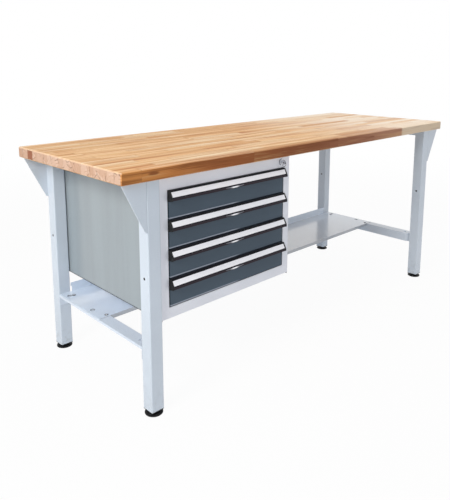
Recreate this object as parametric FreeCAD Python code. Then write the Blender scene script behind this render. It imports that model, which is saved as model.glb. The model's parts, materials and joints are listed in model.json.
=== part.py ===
"""Workbench with a beech top, welded leg frames and a hung unit of four drawers.

Frame: origin on the floor under the middle of the top, +X to the right, +Y to the back,
+Z up. The drawers open towards -Y. All lengths are in millimetres.
"""

import FreeCAD
import Part
import math
import os

V = FreeCAD.Vector

# Top
TOP_LENGTH = 2000.0
TOP_DEPTH = 700.0
TOP_THICKNESS = 40.0
TOP_EDGE_CHAMFER = 3.0
BENCH_HEIGHT = 840.0

# Leg frames
LEG_WIDTH = 50.0
LEG_WALL = 2.0
LEG_CORNER_RADIUS = 4.0
LEG_END_INSET = 100.0
LEG_EDGE_INSET = 15.0
LEG_BOTTOM = 17.0
LEG_HOLE_DIAMETER = 7.0
LEG_HOLE_HEIGHT = 477.0
GUSSET_REACH = 88.0
GUSSET_DROP = 165.0
GUSSET_THICKNESS = 4.0
GUSSET_TIP = 7.0
GUSSET_SETBACK = 1.0
RAIL_WALL = 2.0
TOP_RAIL_WIDTH = 40.0
TOP_RAIL_DROP = 28.0
LOWER_RAIL_STEP = 1.0
LOWER_RAIL_DROP = 44.0
LOWER_RAIL_LIP = 10.0
LOWER_RAIL_TOP = 234.0
LOWER_RAIL_CORNER = 30.0
RAIL_HOLE_DIAMETER = 14.0
RAIL_HOLE_END = 40.0
RAIL_HOLE_MIDDLE = 69.0

# Levelling feet
CAP_RIM = 2.0
CAP_PLUG_DEPTH = 16.0
PAD_DIAMETER = 62.0
PAD_THICKNESS = 5.0
FOOT_NUT_WIDTH = 17.0
STEM_DIAMETER = 10.0
STEM_LENGTH = 48.0

# Shelf
SHELF_DEPTH = 300.0
SHELF_SHEET = 1.5
SHELF_LIP = 15.0
SHELF_UPSTAND = 38.0
SHELF_END_INSET = 4.0
SHELF_TAB = 14.0
SHELF_RELIEF = 6.0
SHELF_SCREW_INSET = 8.0
SHELF_SCREW_FRONT = 14.0
SHELF_SCREW_REAR = 44.0

# Screws
SCREW_HEAD_WIDTH = 10.0
SCREW_HEAD_HEIGHT = 3.5
SCREW_SHANK_WIDTH = 6.0
WOOD_SCREW_LENGTH = 30.0
SHELF_SCREW_LENGTH = 12.0
TOP_SCREW_SPACING = 210.0

# Drawer unit
UNIT_WIDTH = 630.0
UNIT_DEPTH = 630.0
UNIT_HEIGHT = 480.0
UNIT_SETBACK = 25.0
UNIT_SHEET = 1.5
STILE_WIDTH = 32.0
FRONT_FOLD = 15.0
UNIT_FLANGE = 26.0
UNIT_TOP_RAIL = 45.0
UNIT_BOTTOM_RAIL = 37.0

# Drawers
DRAWER_COUNT = 4
FRONT_GAP = 3.0
FRONT_SIDE_GAP = 5.0
FRONT_PROUD = 1.0
FRONT_DEPTH = 16.0
FRONT_LIP = 10.0
DRAWER_SHEET = 1.2
TRAY_LIFT = 10.0
TRAY_HEIGHT = 72.0
TRAY_REAR_GAP = 36.0
TRAY_HEM = 6.0

# Handles
HANDLE_PROUD = 20.0
HANDLE_HEIGHT = 36.0
HANDLE_WALL = 3.0
HANDLE_BEAD = 6.0
HANDLE_LIP = 10.0
HANDLE_FOOT = 3.0
HANDLE_ROUND = 2.0
HANDLE_FOOT_ROUND = 1.2
SLOPE_TOP = 4.0
SLOPE_RUN = 3.0
SLOPE_TOE = 1.5
LABEL_DEPTH = 1.0
LABEL_THICKNESS = 0.8
HANDLE_CAP_WIDTH = 6.0
HANDLE_CAP_PROUD = 1.0
CATCH_WIDTH = 90.0
CATCH_DROP = 5.0
CATCH_END = 1.0

# Slides, measured from the side of the opening towards the drawer
SLIDE_SHEET = 1.5
SLIDE_HALF_HEIGHT = 19.5
SLIDE_LIP_REACH = 7.0
SLIDE_LIP_HEIGHT = 7.5
SLIDE_INNER_LIP = 1.2
SLIDE_INNER_LIP_HEIGHT = 6.5
SLIDE_NECK_GAP = 4.0
SLIDE_DEPTH = 17.0
SLIDE_LENGTH = 520.0
SLIDE_FRONT_GAP = 14.0
SLIDE_LIFT = 26.0
SPACER_HALF_HEIGHT = 9.5

# Lock
LOCK_SIDE_INSET = 16.0
LOCK_FLANGE_DIAMETER = 22.0
LOCK_FLANGE_THICKNESS = 3.0
LOCK_BODY_WIDTH = 15.0
LOCK_BODY_DEPTH = 15.0
PLUG_DIAMETER = 12.0
CRANK_RADIUS = 10.0
CRANK_THICKNESS = 2.0
CRANK_PIN_DIAMETER = 5.0
KEY_BOW_WIDTH = 17.0
KEY_BOW_CLIP = 4.0
KEY_RING_HOLE = 5.0
KEY_RING_INSET = 5.0
KEY_THICKNESS = 2.0
KEY_BLADE_WIDTH = 6.0
KEY_BLADE_DEPTH = 12.0
BAR_WIDTH = 10.0
BAR_THICKNESS = 6.0

# Running gaps
RUN_GAP = 0.4
FIT_GAP = 0.1
LOOSE_GAP = 1.0
LEG_TO_UNIT_GAP = 4.0

# Width across flats of a regular hexagon, in radii of its corners
HEXAGON_FLATS = math.sqrt(3)

# Places that follow from the sizes above
TOP_UNDERSIDE = BENCH_HEIGHT - TOP_THICKNESS
HALF_LENGTH = TOP_LENGTH / 2
HALF_DEPTH = TOP_DEPTH / 2
LEG_OUTER_X = HALF_LENGTH - LEG_END_INSET
LEG_INNER_X = LEG_OUTER_X - LEG_WIDTH
LEG_CENTRE_X = LEG_OUTER_X - LEG_WIDTH / 2
LEG_OUTER_Y = HALF_DEPTH - LEG_EDGE_INSET
LEG_INNER_Y = LEG_OUTER_Y - LEG_WIDTH
LEG_CENTRE_Y = LEG_OUTER_Y - LEG_WIDTH / 2
RAIL_OUTER_X = LEG_OUTER_X - LOWER_RAIL_STEP
RAIL_INNER_X = LEG_INNER_X + LOWER_RAIL_STEP
SHELF_REAR_Y = LEG_INNER_Y - LOOSE_GAP
SHELF_FRONT_Y = SHELF_REAR_Y - SHELF_DEPTH
SHELF_HALF_LENGTH = RAIL_OUTER_X - SHELF_END_INSET
SHELF_TOP = LOWER_RAIL_TOP + SHELF_SHEET

UNIT_LEFT = -LEG_INNER_X + LEG_TO_UNIT_GAP
UNIT_RIGHT = UNIT_LEFT + UNIT_WIDTH
UNIT_CENTRE_X = (UNIT_LEFT + UNIT_RIGHT) / 2
UNIT_FRONT = -HALF_DEPTH + UNIT_SETBACK
UNIT_REAR = UNIT_FRONT + UNIT_DEPTH
UNIT_TOP = TOP_UNDERSIDE
UNIT_BOTTOM = UNIT_TOP - UNIT_HEIGHT
OPEN_LEFT = UNIT_LEFT + STILE_WIDTH
OPEN_RIGHT = UNIT_RIGHT - STILE_WIDTH
OPEN_TOP = UNIT_TOP - UNIT_TOP_RAIL
OPEN_BOTTOM = UNIT_BOTTOM + UNIT_BOTTOM_RAIL
FOLD_REAR = UNIT_FRONT + FRONT_FOLD
DRAWER_PITCH = (OPEN_TOP - OPEN_BOTTOM) / DRAWER_COUNT
FRONT_FACE = UNIT_FRONT - FRONT_PROUD
FRONT_REAR = FRONT_FACE + FRONT_DEPTH
FRONT_LEFT = OPEN_LEFT + FRONT_SIDE_GAP
FRONT_RIGHT = OPEN_RIGHT - FRONT_SIDE_GAP
TRAY_LEFT = OPEN_LEFT + SLIDE_DEPTH
TRAY_RIGHT = OPEN_RIGHT - SLIDE_DEPTH
TRAY_REAR = UNIT_REAR - TRAY_REAR_GAP
SLIDE_FRONT = FOLD_REAR + SLIDE_FRONT_GAP
LOCK_X = OPEN_RIGHT - LOCK_SIDE_INSET
LOCK_Z = UNIT_TOP - UNIT_TOP_RAIL / 2
LOCK_BODY_REAR = UNIT_FRONT + LOCK_BODY_DEPTH

# Slide sections, as distances from the side of the opening and from the slide's middle line
OUTER_WEB = (LOOSE_GAP, LOOSE_GAP + SLIDE_SHEET)
OUTER_LIP = (LOOSE_GAP + SLIDE_LIP_REACH, LOOSE_GAP + SLIDE_LIP_REACH + SLIDE_SHEET)
INNER_LIP = (OUTER_LIP[1] + RUN_GAP, OUTER_LIP[1] + RUN_GAP + SLIDE_INNER_LIP)
INNER_WEB = (SLIDE_DEPTH - SLIDE_SHEET, SLIDE_DEPTH)
MID_OUTER = (OUTER_WEB[1] + RUN_GAP, OUTER_LIP[0] - RUN_GAP)
MID_INNER = (INNER_LIP[1] + RUN_GAP, INNER_WEB[0] - RUN_GAP)
OUTER_MOUTH = SLIDE_HALF_HEIGHT - SLIDE_LIP_HEIGHT
NECK_HALF_HEIGHT = OUTER_MOUTH - SLIDE_NECK_GAP
INNER_MOUTH = NECK_HALF_HEIGHT + RUN_GAP
INNER_HALF_HEIGHT = INNER_MOUTH + SLIDE_INNER_LIP_HEIGHT
MID_OUTER_HALF = SLIDE_HALF_HEIGHT - SLIDE_SHEET - RUN_GAP
MID_INNER_HALF = INNER_HALF_HEIGHT - SLIDE_SHEET - RUN_GAP

# Handle section, as distances in front of the drawer front and below its upper edge
SLOPE_START = (HANDLE_BEAD + SLOPE_RUN, SLOPE_TOP)
SLOPE_END = (HANDLE_PROUD - SLOPE_TOE, HANDLE_HEIGHT - HANDLE_LIP - SLOPE_TOP)
LIP_ROOT = HANDLE_HEIGHT - HANDLE_LIP
LIP_FOOT = HANDLE_HEIGHT - HANDLE_FOOT


def box(x, y, z):
    """Block between the low and high values of each axis."""
    low = V(min(x), min(y), min(z))
    return Part.makeBox(max(x) - low.x, max(y) - low.y, max(z) - low.z, low)


def union(pieces):
    """One solid from pieces that share faces or overlap."""
    whole = pieces[0].fuse(pieces[1:]) if len(pieces) > 1 else pieces[0]
    whole = whole.removeSplitter()
    return whole.Solids[0] if len(whole.Solids) == 1 else whole


def group(pieces):
    """Separate solids that share one name."""
    return Part.makeCompound(pieces)


def rod(centre, axis, diameter, length):
    """Round bar that starts at centre and runs along axis."""
    return Part.makeCylinder(diameter / 2, length, centre, axis)


def outline(corners, place):
    """Closed wire through corners (u, v) or (u, v, radius); place turns u, v into a point."""
    points = [V(c[0], c[1], 0) for c in corners]
    radii = [c[2] if len(c) > 2 else 0.0 for c in corners]
    bends = []
    for i, point in enumerate(points):
        if radii[i] == 0.0:
            bends.append((point, None, point))
            continue
        back = points[i - 1] - point
        ahead = points[(i + 1) % len(points)] - point
        half = back.getAngle(ahead) / 2
        reach = radii[i] / math.tan(half)
        back.normalize()
        ahead.normalize()
        middle = back + ahead
        middle.normalize()
        crown = radii[i] / math.sin(half) - radii[i]
        bends.append((point + back * reach, point + middle * crown, point + ahead * reach))
    edges = []
    for i, (start, crown, end) in enumerate(bends):
        if crown is not None:
            arc = Part.Arc(place(start.x, start.y), place(crown.x, crown.y), place(end.x, end.y))
            edges.append(arc.toShape())
        following = bends[(i + 1) % len(bends)][0]
        if end.distanceToPoint(following) > 1e-6:
            edges.append(Part.makeLine(place(end.x, end.y), place(following.x, following.y)))
    return Part.Wire(edges)


def prism_x(corners, x):
    """Section of (y, z) corners pulled along X."""
    face = Part.Face(outline(corners, lambda y, z: V(x[0], y, z)))
    return face.extrude(V(x[1] - x[0], 0, 0))


def prism_y(corners, y):
    """Section of (x, z) corners pulled along Y."""
    face = Part.Face(outline(corners, lambda x, z: V(x, y[0], z)))
    return face.extrude(V(0, y[1] - y[0], 0))


def prism_z(corners, z):
    """Plan of (x, y) corners pulled along Z."""
    face = Part.Face(outline(corners, lambda x, y: V(x, y, z[0])))
    return face.extrude(V(0, 0, z[1] - z[0]))


def square(half, radius):
    """Corners of a square about the origin, rounded by radius."""
    return [(-half, -half, radius), (half, -half, radius), (half, half, radius), (-half, half, radius)]


def clipped_square(half, clip):
    """Corners of a square about the origin with its corners cut off."""
    near = half - clip
    lower = [(-half, -near), (-near, -half), (near, -half), (half, -near)]
    return lower + [(-x, -y) for x, y in lower]


def hexagon(width):
    """Corners of a regular hexagon about the origin, that wide across its flats."""
    reach = width / HEXAGON_FLATS
    turns = [math.radians(60 * k) for k in range(6)]
    return [(reach * math.cos(turn), reach * math.sin(turn)) for turn in turns]


def mirror_across_unit(shape):
    """The same piece on the other side of the drawer unit."""
    return shape.mirror(V(UNIT_CENTRE_X, 0, 0), V(1, 0, 0))


def corner_places():
    """Sign pairs of the four legs with their names."""
    for end_name, end in (("front", -1), ("rear", 1)):
        for side_name, side in (("left", -1), ("right", 1)):
            yield f"{end_name}_{side_name}", side, end


def screw(seat, length):
    """Hexagon-head screw, head below its seat, a six-sided shank for the thread pointing up."""
    head = prism_z(hexagon(SCREW_HEAD_WIDTH), (-SCREW_HEAD_HEIGHT, 0))
    whole = union([head, prism_z(hexagon(SCREW_SHANK_WIDTH), (0, length))])
    whole.translate(seat)
    return whole


def top_screw_seats():
    """Points under the sheet where the wood screws of the top bear."""
    seats = []
    for side in (-1, 1):
        for step in (-1, 1):
            seats.append(V(side * LEG_CENTRE_X, step * TOP_SCREW_SPACING, TOP_UNDERSIDE - RAIL_WALL))
    middle = UNIT_SHEET + (UNIT_FLANGE - UNIT_SHEET) / 2
    for x in (UNIT_LEFT + middle, UNIT_RIGHT - middle):
        for step in (-1, 1):
            y = (UNIT_FRONT + UNIT_REAR) / 2 + step * TOP_SCREW_SPACING
            seats.append(V(x, y, UNIT_TOP - UNIT_SHEET))
    return seats


def shelf_screw_seats():
    """Points on the shelf where its four screws bear."""
    seats = []
    for side in (-1, 1):
        x = side * (RAIL_INNER_X + SHELF_SCREW_INSET)
        for y in (SHELF_FRONT_Y + SHELF_SCREW_FRONT, SHELF_REAR_Y - SHELF_SCREW_REAR):
            seats.append(V(x, y, SHELF_TOP))
    return seats


def rail_holes(side):
    """Cutters for the row of round holes along one lower rail."""
    middle = side * (RAIL_OUTER_X + RAIL_INNER_X) / 2
    far = LEG_INNER_Y - RAIL_HOLE_END
    low = LOWER_RAIL_TOP - LOWER_RAIL_DROP
    starts = [V(middle, y, low) for y in (-far, RAIL_HOLE_MIDDLE, far)]
    return [rod(start, V(0, 0, 1), RAIL_HOLE_DIAMETER, 2 * LOWER_RAIL_DROP) for start in starts]


def screw_hole(seat, length):
    """Clearance for a screw shank on both sides of its seat."""
    hole = prism_z(hexagon(SCREW_SHANK_WIDTH + 2 * FIT_GAP), (-LOOSE_GAP, length + LOOSE_GAP))
    hole.translate(seat)
    return hole


def tabletop():
    """Thick board with chamfered edges and pilot holes in its underside."""
    board = box((-HALF_LENGTH, HALF_LENGTH), (-HALF_DEPTH, HALF_DEPTH), (TOP_UNDERSIDE, BENCH_HEIGHT))
    board = board.makeChamfer(TOP_EDGE_CHAMFER, board.Edges)
    return board.cut([screw_hole(seat, WOOD_SCREW_LENGTH) for seat in top_screw_seats()])


def leg(side, end):
    """Square tube from the end cap up to the top, with one cross hole."""
    centre = V(side * LEG_CENTRE_X, end * LEG_CENTRE_Y, 0)
    height = (LEG_BOTTOM, TOP_UNDERSIDE)
    skin = prism_z(square(LEG_WIDTH / 2, LEG_CORNER_RADIUS), height)
    hollow = prism_z(square(LEG_WIDTH / 2 - LEG_WALL, 0.0), height)
    hole = rod(V(-LEG_WIDTH, 0, LEG_HOLE_HEIGHT), V(1, 0, 0), LEG_HOLE_DIAMETER, 2 * LEG_WIDTH)
    tube = skin.cut([hollow, hole])
    tube.translate(centre)
    return tube


def gusset(side, end):
    """Triangular plate flush with the outer face of a leg, bearing under the end of the top."""
    root = side * LEG_OUTER_X
    tip = side * (LEG_OUTER_X + GUSSET_REACH)
    heel = side * (LEG_OUTER_X + GUSSET_TIP)
    low = TOP_UNDERSIDE - GUSSET_DROP
    corners = [(root, TOP_UNDERSIDE), (tip, TOP_UNDERSIDE), (tip, TOP_UNDERSIDE - GUSSET_TIP)]
    corners += [(heel, low), (root, low)]
    seat = end * (LEG_OUTER_Y - GUSSET_SETBACK)
    return prism_y(corners, (seat, seat - end * GUSSET_THICKNESS))


def top_rail(side):
    """Channel between two legs, web up against the top."""
    reach = (-LEG_INNER_Y, LEG_INNER_Y)
    middle = side * LEG_CENTRE_X
    half = TOP_RAIL_WIDTH / 2
    skin = box((middle - half, middle + half), reach, (TOP_UNDERSIDE - TOP_RAIL_DROP, TOP_UNDERSIDE))
    inner = half - RAIL_WALL
    low = TOP_UNDERSIDE - TOP_RAIL_DROP
    hollow = box((middle - inner, middle + inner), reach, (low, TOP_UNDERSIDE - RAIL_WALL))
    holes = [screw_hole(seat, RAIL_WALL) for seat in top_screw_seats() if abs(seat.x - middle) < 1e-6]
    return skin.cut([hollow] + holes)


def rail_plan(side, inset):
    """Plan of the lower rail: its inner corners sweep round to the legs."""
    outer = side * (RAIL_OUTER_X - inset)
    inner = side * (RAIL_INNER_X + inset)
    reach = LEG_INNER_Y - inset
    bend = LOWER_RAIL_CORNER - inset
    return [(outer, -reach), (inner, -reach, bend), (inner, reach, bend), (outer, reach)]


def lower_rail(side):
    """Pressed channel between two legs: deep inner flange, narrow outer lip, holes in its web."""
    low = LOWER_RAIL_TOP - LOWER_RAIL_DROP
    skin = prism_z(rail_plan(side, 0.0), (low, LOWER_RAIL_TOP))
    hollow = prism_z(rail_plan(side, RAIL_WALL), (low, LOWER_RAIL_TOP - RAIL_WALL))
    outer = side * RAIL_OUTER_X
    reach = LEG_INNER_Y - RAIL_WALL
    lip_end = LOWER_RAIL_TOP - LOWER_RAIL_LIP
    below_lip = box((outer, outer - side * RAIL_WALL), (-reach, reach), (low, lip_end))
    cuts = [hollow, below_lip] + rail_holes(side)
    for seat in shelf_screw_seats():
        if seat.x * side > 0:
            cuts.append(screw_hole(seat - V(0, 0, SHELF_SCREW_LENGTH), SHELF_SCREW_LENGTH))
    return skin.cut(cuts)


def leg_end_cap(side, end):
    """Plastic cap: a rim under the tube, a plug inside it and a hole for the foot's stem."""
    clip = LEG_CORNER_RADIUS * (2 - math.sqrt(2))
    rim = prism_z(clipped_square(LEG_WIDTH / 2, clip), (LEG_BOTTOM - CAP_RIM, LEG_BOTTOM))
    inner = LEG_WIDTH / 2 - LEG_WALL - FIT_GAP
    plug_corners = clipped_square(inner, LEG_CORNER_RADIUS - LEG_WALL)
    plug = prism_z(plug_corners, (LEG_BOTTOM, LEG_BOTTOM + CAP_PLUG_DEPTH))
    bore = rod(V(0, 0, 0), V(0, 0, 1), STEM_DIAMETER + 2 * RUN_GAP, BENCH_HEIGHT)
    cap = union([rim, plug]).cut(bore)
    cap.translate(V(side * LEG_CENTRE_X, end * LEG_CENTRE_Y, 0))
    return cap


def foot(side, end):
    """Levelling foot: round pad, hexagon nut and a six-sided stem for the thread."""
    nut_top = LEG_BOTTOM - CAP_RIM - RUN_GAP / 2
    pad = rod(V(0, 0, 0), V(0, 0, 1), PAD_DIAMETER, PAD_THICKNESS)
    nut = prism_z(hexagon(FOOT_NUT_WIDTH), (PAD_THICKNESS, nut_top))
    stem_width = STEM_DIAMETER / 2 * HEXAGON_FLATS
    stem = prism_z(hexagon(stem_width), (PAD_THICKNESS, PAD_THICKNESS + STEM_LENGTH))
    whole = union([pad, nut, stem])
    whole.translate(V(side * LEG_CENTRE_X, end * LEG_CENTRE_Y, 0))
    return whole


def shelf():
    """Half-depth sheet on the lower rails: lip down in front, upstand between the rear legs."""
    ends = (-SHELF_HALF_LENGTH, SHELF_HALF_LENGTH)
    between = (-RAIL_INNER_X + LOOSE_GAP, RAIL_INNER_X - LOOSE_GAP)
    sheet = box(ends, (SHELF_FRONT_Y, SHELF_REAR_Y), (LOWER_RAIL_TOP, SHELF_TOP))
    front = (SHELF_FRONT_Y, SHELF_FRONT_Y + SHELF_SHEET)
    rear = (SHELF_REAR_Y - SHELF_SHEET, SHELF_REAR_Y)
    lip = box(between, front, (SHELF_TOP - SHELF_LIP, SHELF_TOP))
    high = LOWER_RAIL_TOP + SHELF_UPSTAND
    tab_end = LEG_INNER_X - LOOSE_GAP
    wall_end = LEG_INNER_X - SHELF_RELIEF
    tabs = box((-tab_end, tab_end), rear, (high - SHELF_TAB, high))
    upstand = box((-wall_end, wall_end), rear, (LOWER_RAIL_TOP, high))
    holes = [screw_hole(seat - V(0, 0, SHELF_SHEET), SHELF_SHEET) for seat in shelf_screw_seats()]
    return union([sheet, lip, upstand, tabs]).cut(holes + rail_holes(-1) + rail_holes(1))


def shelf_screw(seat):
    """Screw with its head on the shelf and its shank through the rail."""
    upright = screw(V(0, 0, 0), SHELF_SCREW_LENGTH)
    upright.rotate(V(0, 0, 0), V(1, 0, 0), 180)
    upright.translate(seat)
    return upright


def unit_side_left():
    """Side panel folded round the front as a stile, with flanges on its other edges."""
    wall = (UNIT_LEFT, UNIT_LEFT + UNIT_SHEET)
    tall = (UNIT_BOTTOM, UNIT_TOP)
    flange = (UNIT_LEFT, UNIT_LEFT + UNIT_FLANGE)
    rear = UNIT_REAR - UNIT_SHEET
    behind_fold = (FOLD_REAR + LOOSE_GAP, rear)
    pieces = [box(wall, (UNIT_FRONT, UNIT_REAR), tall)]
    pieces.append(box((UNIT_LEFT, OPEN_LEFT), (UNIT_FRONT, UNIT_FRONT + UNIT_SHEET), tall))
    pieces.append(box((OPEN_LEFT - UNIT_SHEET, OPEN_LEFT), (UNIT_FRONT, FOLD_REAR), tall))
    pieces.append(box(flange, behind_fold, (UNIT_TOP - UNIT_SHEET, UNIT_TOP)))
    pieces.append(box(flange, behind_fold, (UNIT_BOTTOM, UNIT_BOTTOM + UNIT_SHEET)))
    pieces.append(box(flange, (rear - UNIT_SHEET, rear), tall))
    holes = []
    for seat in top_screw_seats():
        if UNIT_LEFT < seat.x < OPEN_LEFT:
            holes.append(screw_hole(seat, UNIT_SHEET))
    return union(pieces).cut(holes)


def unit_back():
    """Rear sheet between the side panels, against their rear flanges."""
    x = (UNIT_LEFT + UNIT_SHEET, UNIT_RIGHT - UNIT_SHEET)
    return box(x, (UNIT_REAR - UNIT_SHEET, UNIT_REAR), (UNIT_BOTTOM, UNIT_TOP))


def unit_floor():
    """Bottom sheet, lying on the lower flanges of the side panels."""
    x = (UNIT_LEFT + UNIT_SHEET, UNIT_RIGHT - UNIT_SHEET)
    y = (FOLD_REAR + LOOSE_GAP, UNIT_REAR - 2 * UNIT_SHEET)
    low = UNIT_BOTTOM + UNIT_SHEET
    return box(x, y, (low, low + UNIT_SHEET))


def unit_front_rail(low, high):
    """Channel across the front between the stiles, folded back above and below."""
    x = (OPEN_LEFT, OPEN_RIGHT)
    face = box(x, (UNIT_FRONT, UNIT_FRONT + UNIT_SHEET), (low, high))
    lower = box(x, (UNIT_FRONT, FOLD_REAR), (low, low + UNIT_SHEET))
    upper = box(x, (UNIT_FRONT, FOLD_REAR), (high - UNIT_SHEET, high))
    return union([face, lower, upper])


def unit_top_rail():
    """Upper front rail with the square hole of the lock."""
    hole = lock_body(FIT_GAP, (UNIT_FRONT - LOOSE_GAP, FOLD_REAR))
    return unit_front_rail(OPEN_TOP, UNIT_TOP).cut(hole)


def slide_level(number):
    """Height of the slides of one drawer."""
    return slot_low(number) + TRAY_LIFT + SLIDE_LIFT


def slot_low(number):
    """Lower end of one drawer's share of the opening; drawer 1 is the top one."""
    return OPEN_TOP - number * DRAWER_PITCH


def slide_bar(reach, low, high, y):
    """Straight bar of a slide: reach from the opening's left side, low and high in Z."""
    return box((OPEN_LEFT + reach[0], OPEN_LEFT + reach[1]), y, (low, high))


def both_edges(level, near, far, reach, y):
    """The same bar above and below the slide's middle line."""
    lower = slide_bar(reach, level - far, level - near, y)
    upper = slide_bar(reach, level + near, level + far, y)
    return [lower, upper]


def slide_fixed(level):
    """Fixed C-member with the spacer that carries it on the side panel."""
    y = (SLIDE_FRONT, SLIDE_FRONT + SLIDE_LENGTH)
    to_wall = (UNIT_SHEET - STILE_WIDTH, OUTER_WEB[1])
    outer = SLIDE_HALF_HEIGHT
    bars = [slide_bar(OUTER_WEB, level - outer, level + outer, y)]
    bars += both_edges(level, SPACER_HALF_HEIGHT - SLIDE_SHEET, SPACER_HALF_HEIGHT, to_wall, y)
    bars += both_edges(level, outer - SLIDE_SHEET, outer, (OUTER_WEB[0], OUTER_LIP[1]), y)
    bars += both_edges(level, OUTER_MOUTH, outer, OUTER_LIP, y)
    return union(bars)


def slide_middle(level):
    """Middle member: two flanges joined by a neck, running in both C-members."""
    y = (SLIDE_FRONT, SLIDE_FRONT + SLIDE_LENGTH)
    outer = slide_bar(MID_OUTER, level - MID_OUTER_HALF, level + MID_OUTER_HALF, y)
    neck = slide_bar((MID_OUTER[0], MID_INNER[1]), level - NECK_HALF_HEIGHT, level + NECK_HALF_HEIGHT, y)
    inner = slide_bar(MID_INNER, level - MID_INNER_HALF, level + MID_INNER_HALF, y)
    return union([outer, neck, inner])


def slide_inner(level):
    """Inner C-member, fixed to the side of the tray."""
    y = (SLIDE_FRONT, SLIDE_FRONT + SLIDE_LENGTH)
    half = INNER_HALF_HEIGHT
    bars = [slide_bar(INNER_WEB, level - half, level + half, y)]
    bars += both_edges(level, half - SLIDE_SHEET, half, (INNER_LIP[0], INNER_WEB[1]), y)
    bars += both_edges(level, INNER_MOUTH, half, INNER_LIP, y)
    return union(bars)


def pair(piece):
    """A slide member and its mirror image on the other side of the drawer."""
    return [piece, mirror_across_unit(piece)]


def drawer_tray(number):
    """Open box of sheet with hemmed rims, fixed to the back of the drawer front."""
    low = slot_low(number) + TRAY_LIFT
    skin = box((TRAY_LEFT, TRAY_RIGHT), (FRONT_REAR, TRAY_REAR), (low, low + TRAY_HEIGHT))
    x = (TRAY_LEFT + DRAWER_SHEET, TRAY_RIGHT - DRAWER_SHEET)
    y = (FRONT_REAR + DRAWER_SHEET, TRAY_REAR - DRAWER_SHEET)
    rim = low + TRAY_HEIGHT - DRAWER_SHEET
    hollow = box(x, y, (low + DRAWER_SHEET, rim))
    hem = TRAY_HEM - DRAWER_SHEET
    above = (low + DRAWER_SHEET, low + 2 * TRAY_HEIGHT)
    mouth = box((x[0] + hem, x[1] - hem), (y[0] + hem, y[1] - hem), above)
    return skin.cut([hollow, mouth])


def front_span(number):
    """Lower and upper edge of one drawer front."""
    low = slot_low(number) + FRONT_GAP / 2
    return low, low + DRAWER_PITCH - FRONT_GAP


def drawer_front(number):
    """Folded pan: smooth face, returned edges and a lip all round its back."""
    low, high = front_span(number)
    skin = box((FRONT_LEFT, FRONT_RIGHT), (FRONT_FACE, FRONT_REAR), (low, high))
    rims = [edge for edge in skin.Edges if abs(edge.BoundBox.YMax - FRONT_FACE) < 1e-6]
    skin = skin.makeFillet(DRAWER_SHEET, rims)
    sheet = DRAWER_SHEET
    lip = FRONT_LIP
    hollow = box((FRONT_LEFT + sheet, FRONT_RIGHT - sheet), (FRONT_FACE + sheet, FRONT_REAR - sheet),
                 (low + sheet, high - sheet))
    window = box((FRONT_LEFT + lip, FRONT_RIGHT - lip), (FRONT_FACE + sheet, FRONT_REAR + sheet),
                 (low + lip, high - lip))
    return skin.cut([hollow, window])


def handle_section(top):
    """Hook-shaped profile: bead, sloping face, finger lip and back plate."""
    proud = HANDLE_PROUD
    wall = HANDLE_WALL
    under = SLOPE_TOP + HANDLE_WALL + FIT_GAP
    corners = [(0, 0, 0), (HANDLE_BEAD, 0, HANDLE_ROUND), SLOPE_START + (0,), SLOPE_END + (0,)]
    corners += [(proud, LIP_ROOT, HANDLE_ROUND), (proud, LIP_FOOT, HANDLE_FOOT_ROUND)]
    corners += [(proud - wall, LIP_FOOT, HANDLE_FOOT_ROUND), (proud - wall, LIP_ROOT, 0)]
    corners += [(HANDLE_BEAD, under, 0), (wall, under, 0), (wall, HANDLE_HEIGHT, 0), (0, HANDLE_HEIGHT, 0)]
    return [(FRONT_FACE - ahead, top - drop, radius) for ahead, drop, radius in corners]


def label_section(top, high, low, ends):
    """Slice of the sloping face between two depths, shortened by ends."""
    start = V(FRONT_FACE - SLOPE_START[0], top - SLOPE_START[1], 0)
    finish = V(FRONT_FACE - SLOPE_END[0], top - SLOPE_END[1], 0)
    along = finish - start
    along.normalize()
    inward = V(-along.y, along.x, 0)
    first = start + along * ends
    last = finish - along * ends
    corners = [first + inward * high, last + inward * high, last + inward * low, first + inward * low]
    return [(corner.x, corner.y) for corner in corners]


def handle_reach(clearance):
    """Ends of the handle along X, drawn in from the sides of the opening."""
    return OPEN_LEFT + clearance, OPEN_RIGHT - clearance


def catch_plate(root, y, clearance):
    """Shallow bow below root: straight upper edge, short ends and an arc below, grown by clearance."""
    half = CATCH_WIDTH / 2 + clearance
    ends = root - CATCH_END - clearance
    left = V(UNIT_CENTRE_X - half, y[0], ends)
    low = V(UNIT_CENTRE_X, y[0], root - CATCH_DROP - clearance)
    right = V(UNIT_CENTRE_X + half, y[0], ends)
    high = root + clearance
    upper = Part.makePolygon([right, V(right.x, y[0], high), V(left.x, y[0], high), left])
    edges = [Part.Arc(left, low, right).toShape()] + upper.Edges
    return Part.Face(Part.Wire(edges)).extrude(V(0, y[1] - y[0], 0))


def handle(number):
    """Handle profile with a channel for the label and a bowed slot for the catch."""
    top = front_span(number)[1]
    x = handle_reach(LOOSE_GAP + HANDLE_CAP_WIDTH)
    profile = prism_x(handle_section(top), x)
    channel = prism_x(label_section(top, -LABEL_DEPTH, LABEL_DEPTH, LOOSE_GAP), x)
    y = (FRONT_FACE - 2 * HANDLE_PROUD, FRONT_FACE - HANDLE_PROUD + 2 * HANDLE_WALL)
    slot = catch_plate(top - LIP_ROOT - RUN_GAP, y, RUN_GAP)
    return profile.cut([channel, slot])


def label_strip(number):
    """Blank strip lying in the channel of the handle."""
    top = front_span(number)[1]
    section = label_section(top, LABEL_DEPTH, LABEL_DEPTH - LABEL_THICKNESS, LOOSE_GAP + FIT_GAP)
    return prism_x(section, handle_reach(LOOSE_GAP + HANDLE_CAP_WIDTH + FIT_GAP))


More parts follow.
